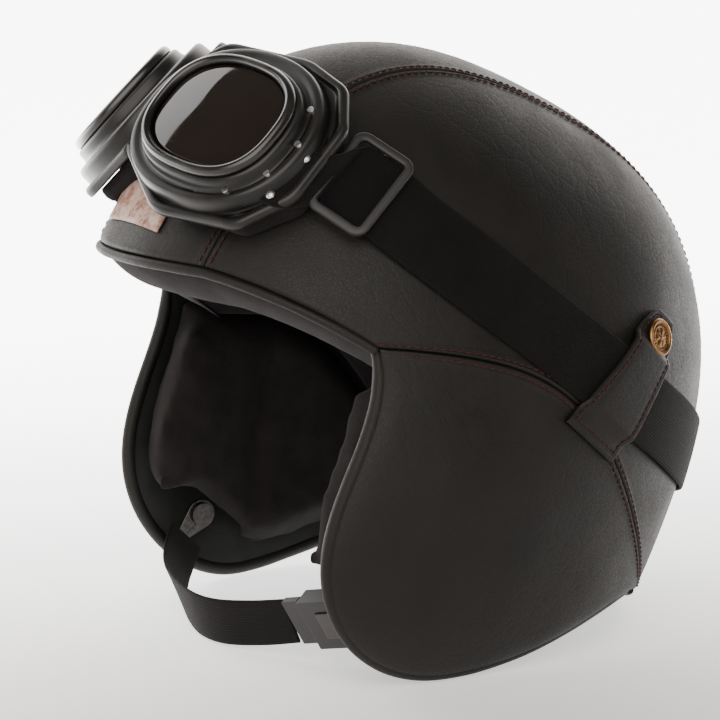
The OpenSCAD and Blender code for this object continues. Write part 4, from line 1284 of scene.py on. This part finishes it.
def make_brow_patch():
    """The tan leather patch at the middle of the brow."""
    a = np.linspace(141, 129, 40)
    b = np.linspace(-9, 9, 46)
    grid_a, grid_b = np.meshgrid(a, b, indexing="ij")
    way = polar_dir(grid_a, grid_b)
    inside = np.minimum(np.minimum(grid_a - 129, 141 - grid_a) * 2.3, (9 - np.abs(grid_b)) * 2.3) * MM
    roll = rolled(inside, 0.8 * MM, 1.0 * MM)
    rumple = uneven(at(way, 0), 0.008, 0.35 * MM, 4.0)
    top = at(way, -(1.6 * MM - roll + rumple))
    under = at(way, -(0.5 * MM + np.zeros_like(roll)))
    make_piece("brow_patch_tan", sheet(top, under), TAN_LEATHER, "helmet", ("brow_patch",))


# ---- Chin strap ----
# The webbing's route, as in part.scad: heights above the floor
WEB_W, WEB_T = 20 * MM, 1.4 * MM
WEB_SHIFT = np.array([0, CENTRE[1] + 0.5 * MM, 0])
WEB_PATH = MM * np.array([[-80.5, -48, 22], [-76, -53, 17], [-66, -60, 13.5], [-50, -68, 11.2],
                          [-30, -74, 10.2], [-10, -77, 10.1], [6, -74.4, 10.8], [22, -66.4, 13.3],
                          [36, -58.7, 16.7]])
WEB_PATH_LEFT = MM * np.array([[70, -44.4, 25.4], [73.5, -43.5, 26], [77, -42.6, 26.6]])


def curve_through(path, count):
    """A smooth curve through the points, as many steps between each two."""
    made = []
    last = len(path) - 1
    for i in range(last):
        a, b, c, d = path[max(i - 1, 0)], path[i], path[i + 1], path[min(i + 2, last)]
        for f in np.arange(count) / count:
            made.append(0.5 * (2 * b + (c - a) * f + (2 * a - 5 * b + 4 * c - d) * f ** 2
                               + (3 * b - a - 3 * c + d) * f ** 3))
    return np.array(made + [path[last]])


def web_rings(path):
    t = tangents(path)
    tilt = -0.24 - 0.66 * (path[:, 0] / (80 * MM)) ** 2
    lean = np.stack([np.zeros(len(path)), tilt, np.ones(len(path))], axis=1)
    w = unit(lean - np.sum(lean * t, axis=1, keepdims=True) * t)
    n = np.cross(t, w)
    thick = np.array([0.35, 0.8, 1, 1, 1, 1, 1, 1, 1, 0.8, 0.35]) * WEB_T / 2
    return tape(path, w, n, WEB_W / 2, thick)


def make_webbing():
    for name, route, steps in (("right", WEB_PATH, 14), ("left", WEB_PATH_LEFT, 8)):
        front, back = web_rings(curve_through(route, steps))
        shape = slab(front + WEB_SHIFT, back + WEB_SHIFT)
        piece = make_piece("chin_webbing_" + name, shape, WEBBING, None, ("chin_web_" + name,))
        if name == "right":
            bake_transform(piece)
        else:
            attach(piece, "chin_strap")


def soften(name, finish, width, segments=3):
    """Rounds a CAD part's edges with modifiers and gives it a finish."""
    obj = frame["nodes"][name]
    weld = obj.modifiers.new("weld", "WELD")
    weld.merge_threshold = 1e-6
    bevel = obj.modifiers.new("bevel", "BEVEL")
    bevel.width, bevel.segments = width, segments
    bevel.limit_method, bevel.angle_limit = "ANGLE", math.radians(35)
    bevel.harden_normals = True
    paint(name, finish)


def paint(name, finish):
    obj = frame["nodes"][name]
    obj.data.materials.clear()
    obj.data.materials.append(finish)


def finish_cad_parts():
    soften("buckle_housing", PLASTIC, 1.1 * MM, 4)
    soften("buckle_tongue", PLASTIC, 0.4 * MM)
    soften("release_button", BUTTON, 0.5 * MM)
    for side in ("left", "right"):
        soften("strap_end_" + side, BLACK_STEEL, 0.3 * MM, 2)
        paint("snap_socket_" + side, BRASS)
        paint("snap_stud_" + side, BRASS)
        paint("cheek_plate_" + side, SHELL)
    soften("chin_rivets", BLACK_STEEL, 0.4 * MM)
    soften("goggle_rivets", STEEL, 0.35 * MM)
    paint("shell", SHELL)
    paint("foam_liner", FOAM)


# ---- Floor ----
FLOOR_RADIUS, FLOOR_SIDES, FLOOR_DROP = 14, 96, 0.3 * MM


def make_floor():
    material, tree, bsdf, place = shader("pale_floor", 0.7, 0.2)
    colour(tree, bsdf, clouds(tree, place, 9, 3), (0.82, 0.800, 0.79), (0.86, 0.845, 0.84))
    # Brighter with distance, as a lit backdrop
    bsdf.inputs["Emission Color"].default_value = (1.0, 0.99, 0.985, 1)
    glow = facing(tree, place, (-0.96, 0.28, 0), -0.25, 0.8, 0.12, 7.5)
    tree.links.new(glow, bsdf.inputs["Emission Strength"])
    mesh = bpy.data.meshes.new("floor")
    w = np.linspace(0, 2 * math.pi, FLOOR_SIDES + 1)[:-1]
    mesh.from_pydata([(FLOOR_RADIUS * math.cos(a), FLOOR_RADIUS * math.sin(a), 0) for a in w], [],
                     [list(range(FLOOR_SIDES))])
    mesh.materials.append(material)
    floor = linked("floor", mesh)
    floor.location.z = -FLOOR_DROP


make_camera()
make_world()
make_floor()
# Its near edge is where the lens's bright wedge ends
make_window(near_edge=(-0.77, -0.70, 1.46), along=(0.128, -0.928, -0.349), away=(-0.847, 0.081, -0.526),
            length=1.5, width=1.2, glow=4.6, colour=(1.0, 0.98, 0.96))
make_leather()
make_ear_leather()
make_piping()
make_end_bands()
make_crown_lining()
make_cheek_pads()
make_bands()
make_sliders()
make_tabs()
make_goggle_frame()
make_band_ends()
make_bridge()
make_brow_patch()
make_webbing()
finish_cad_parts()
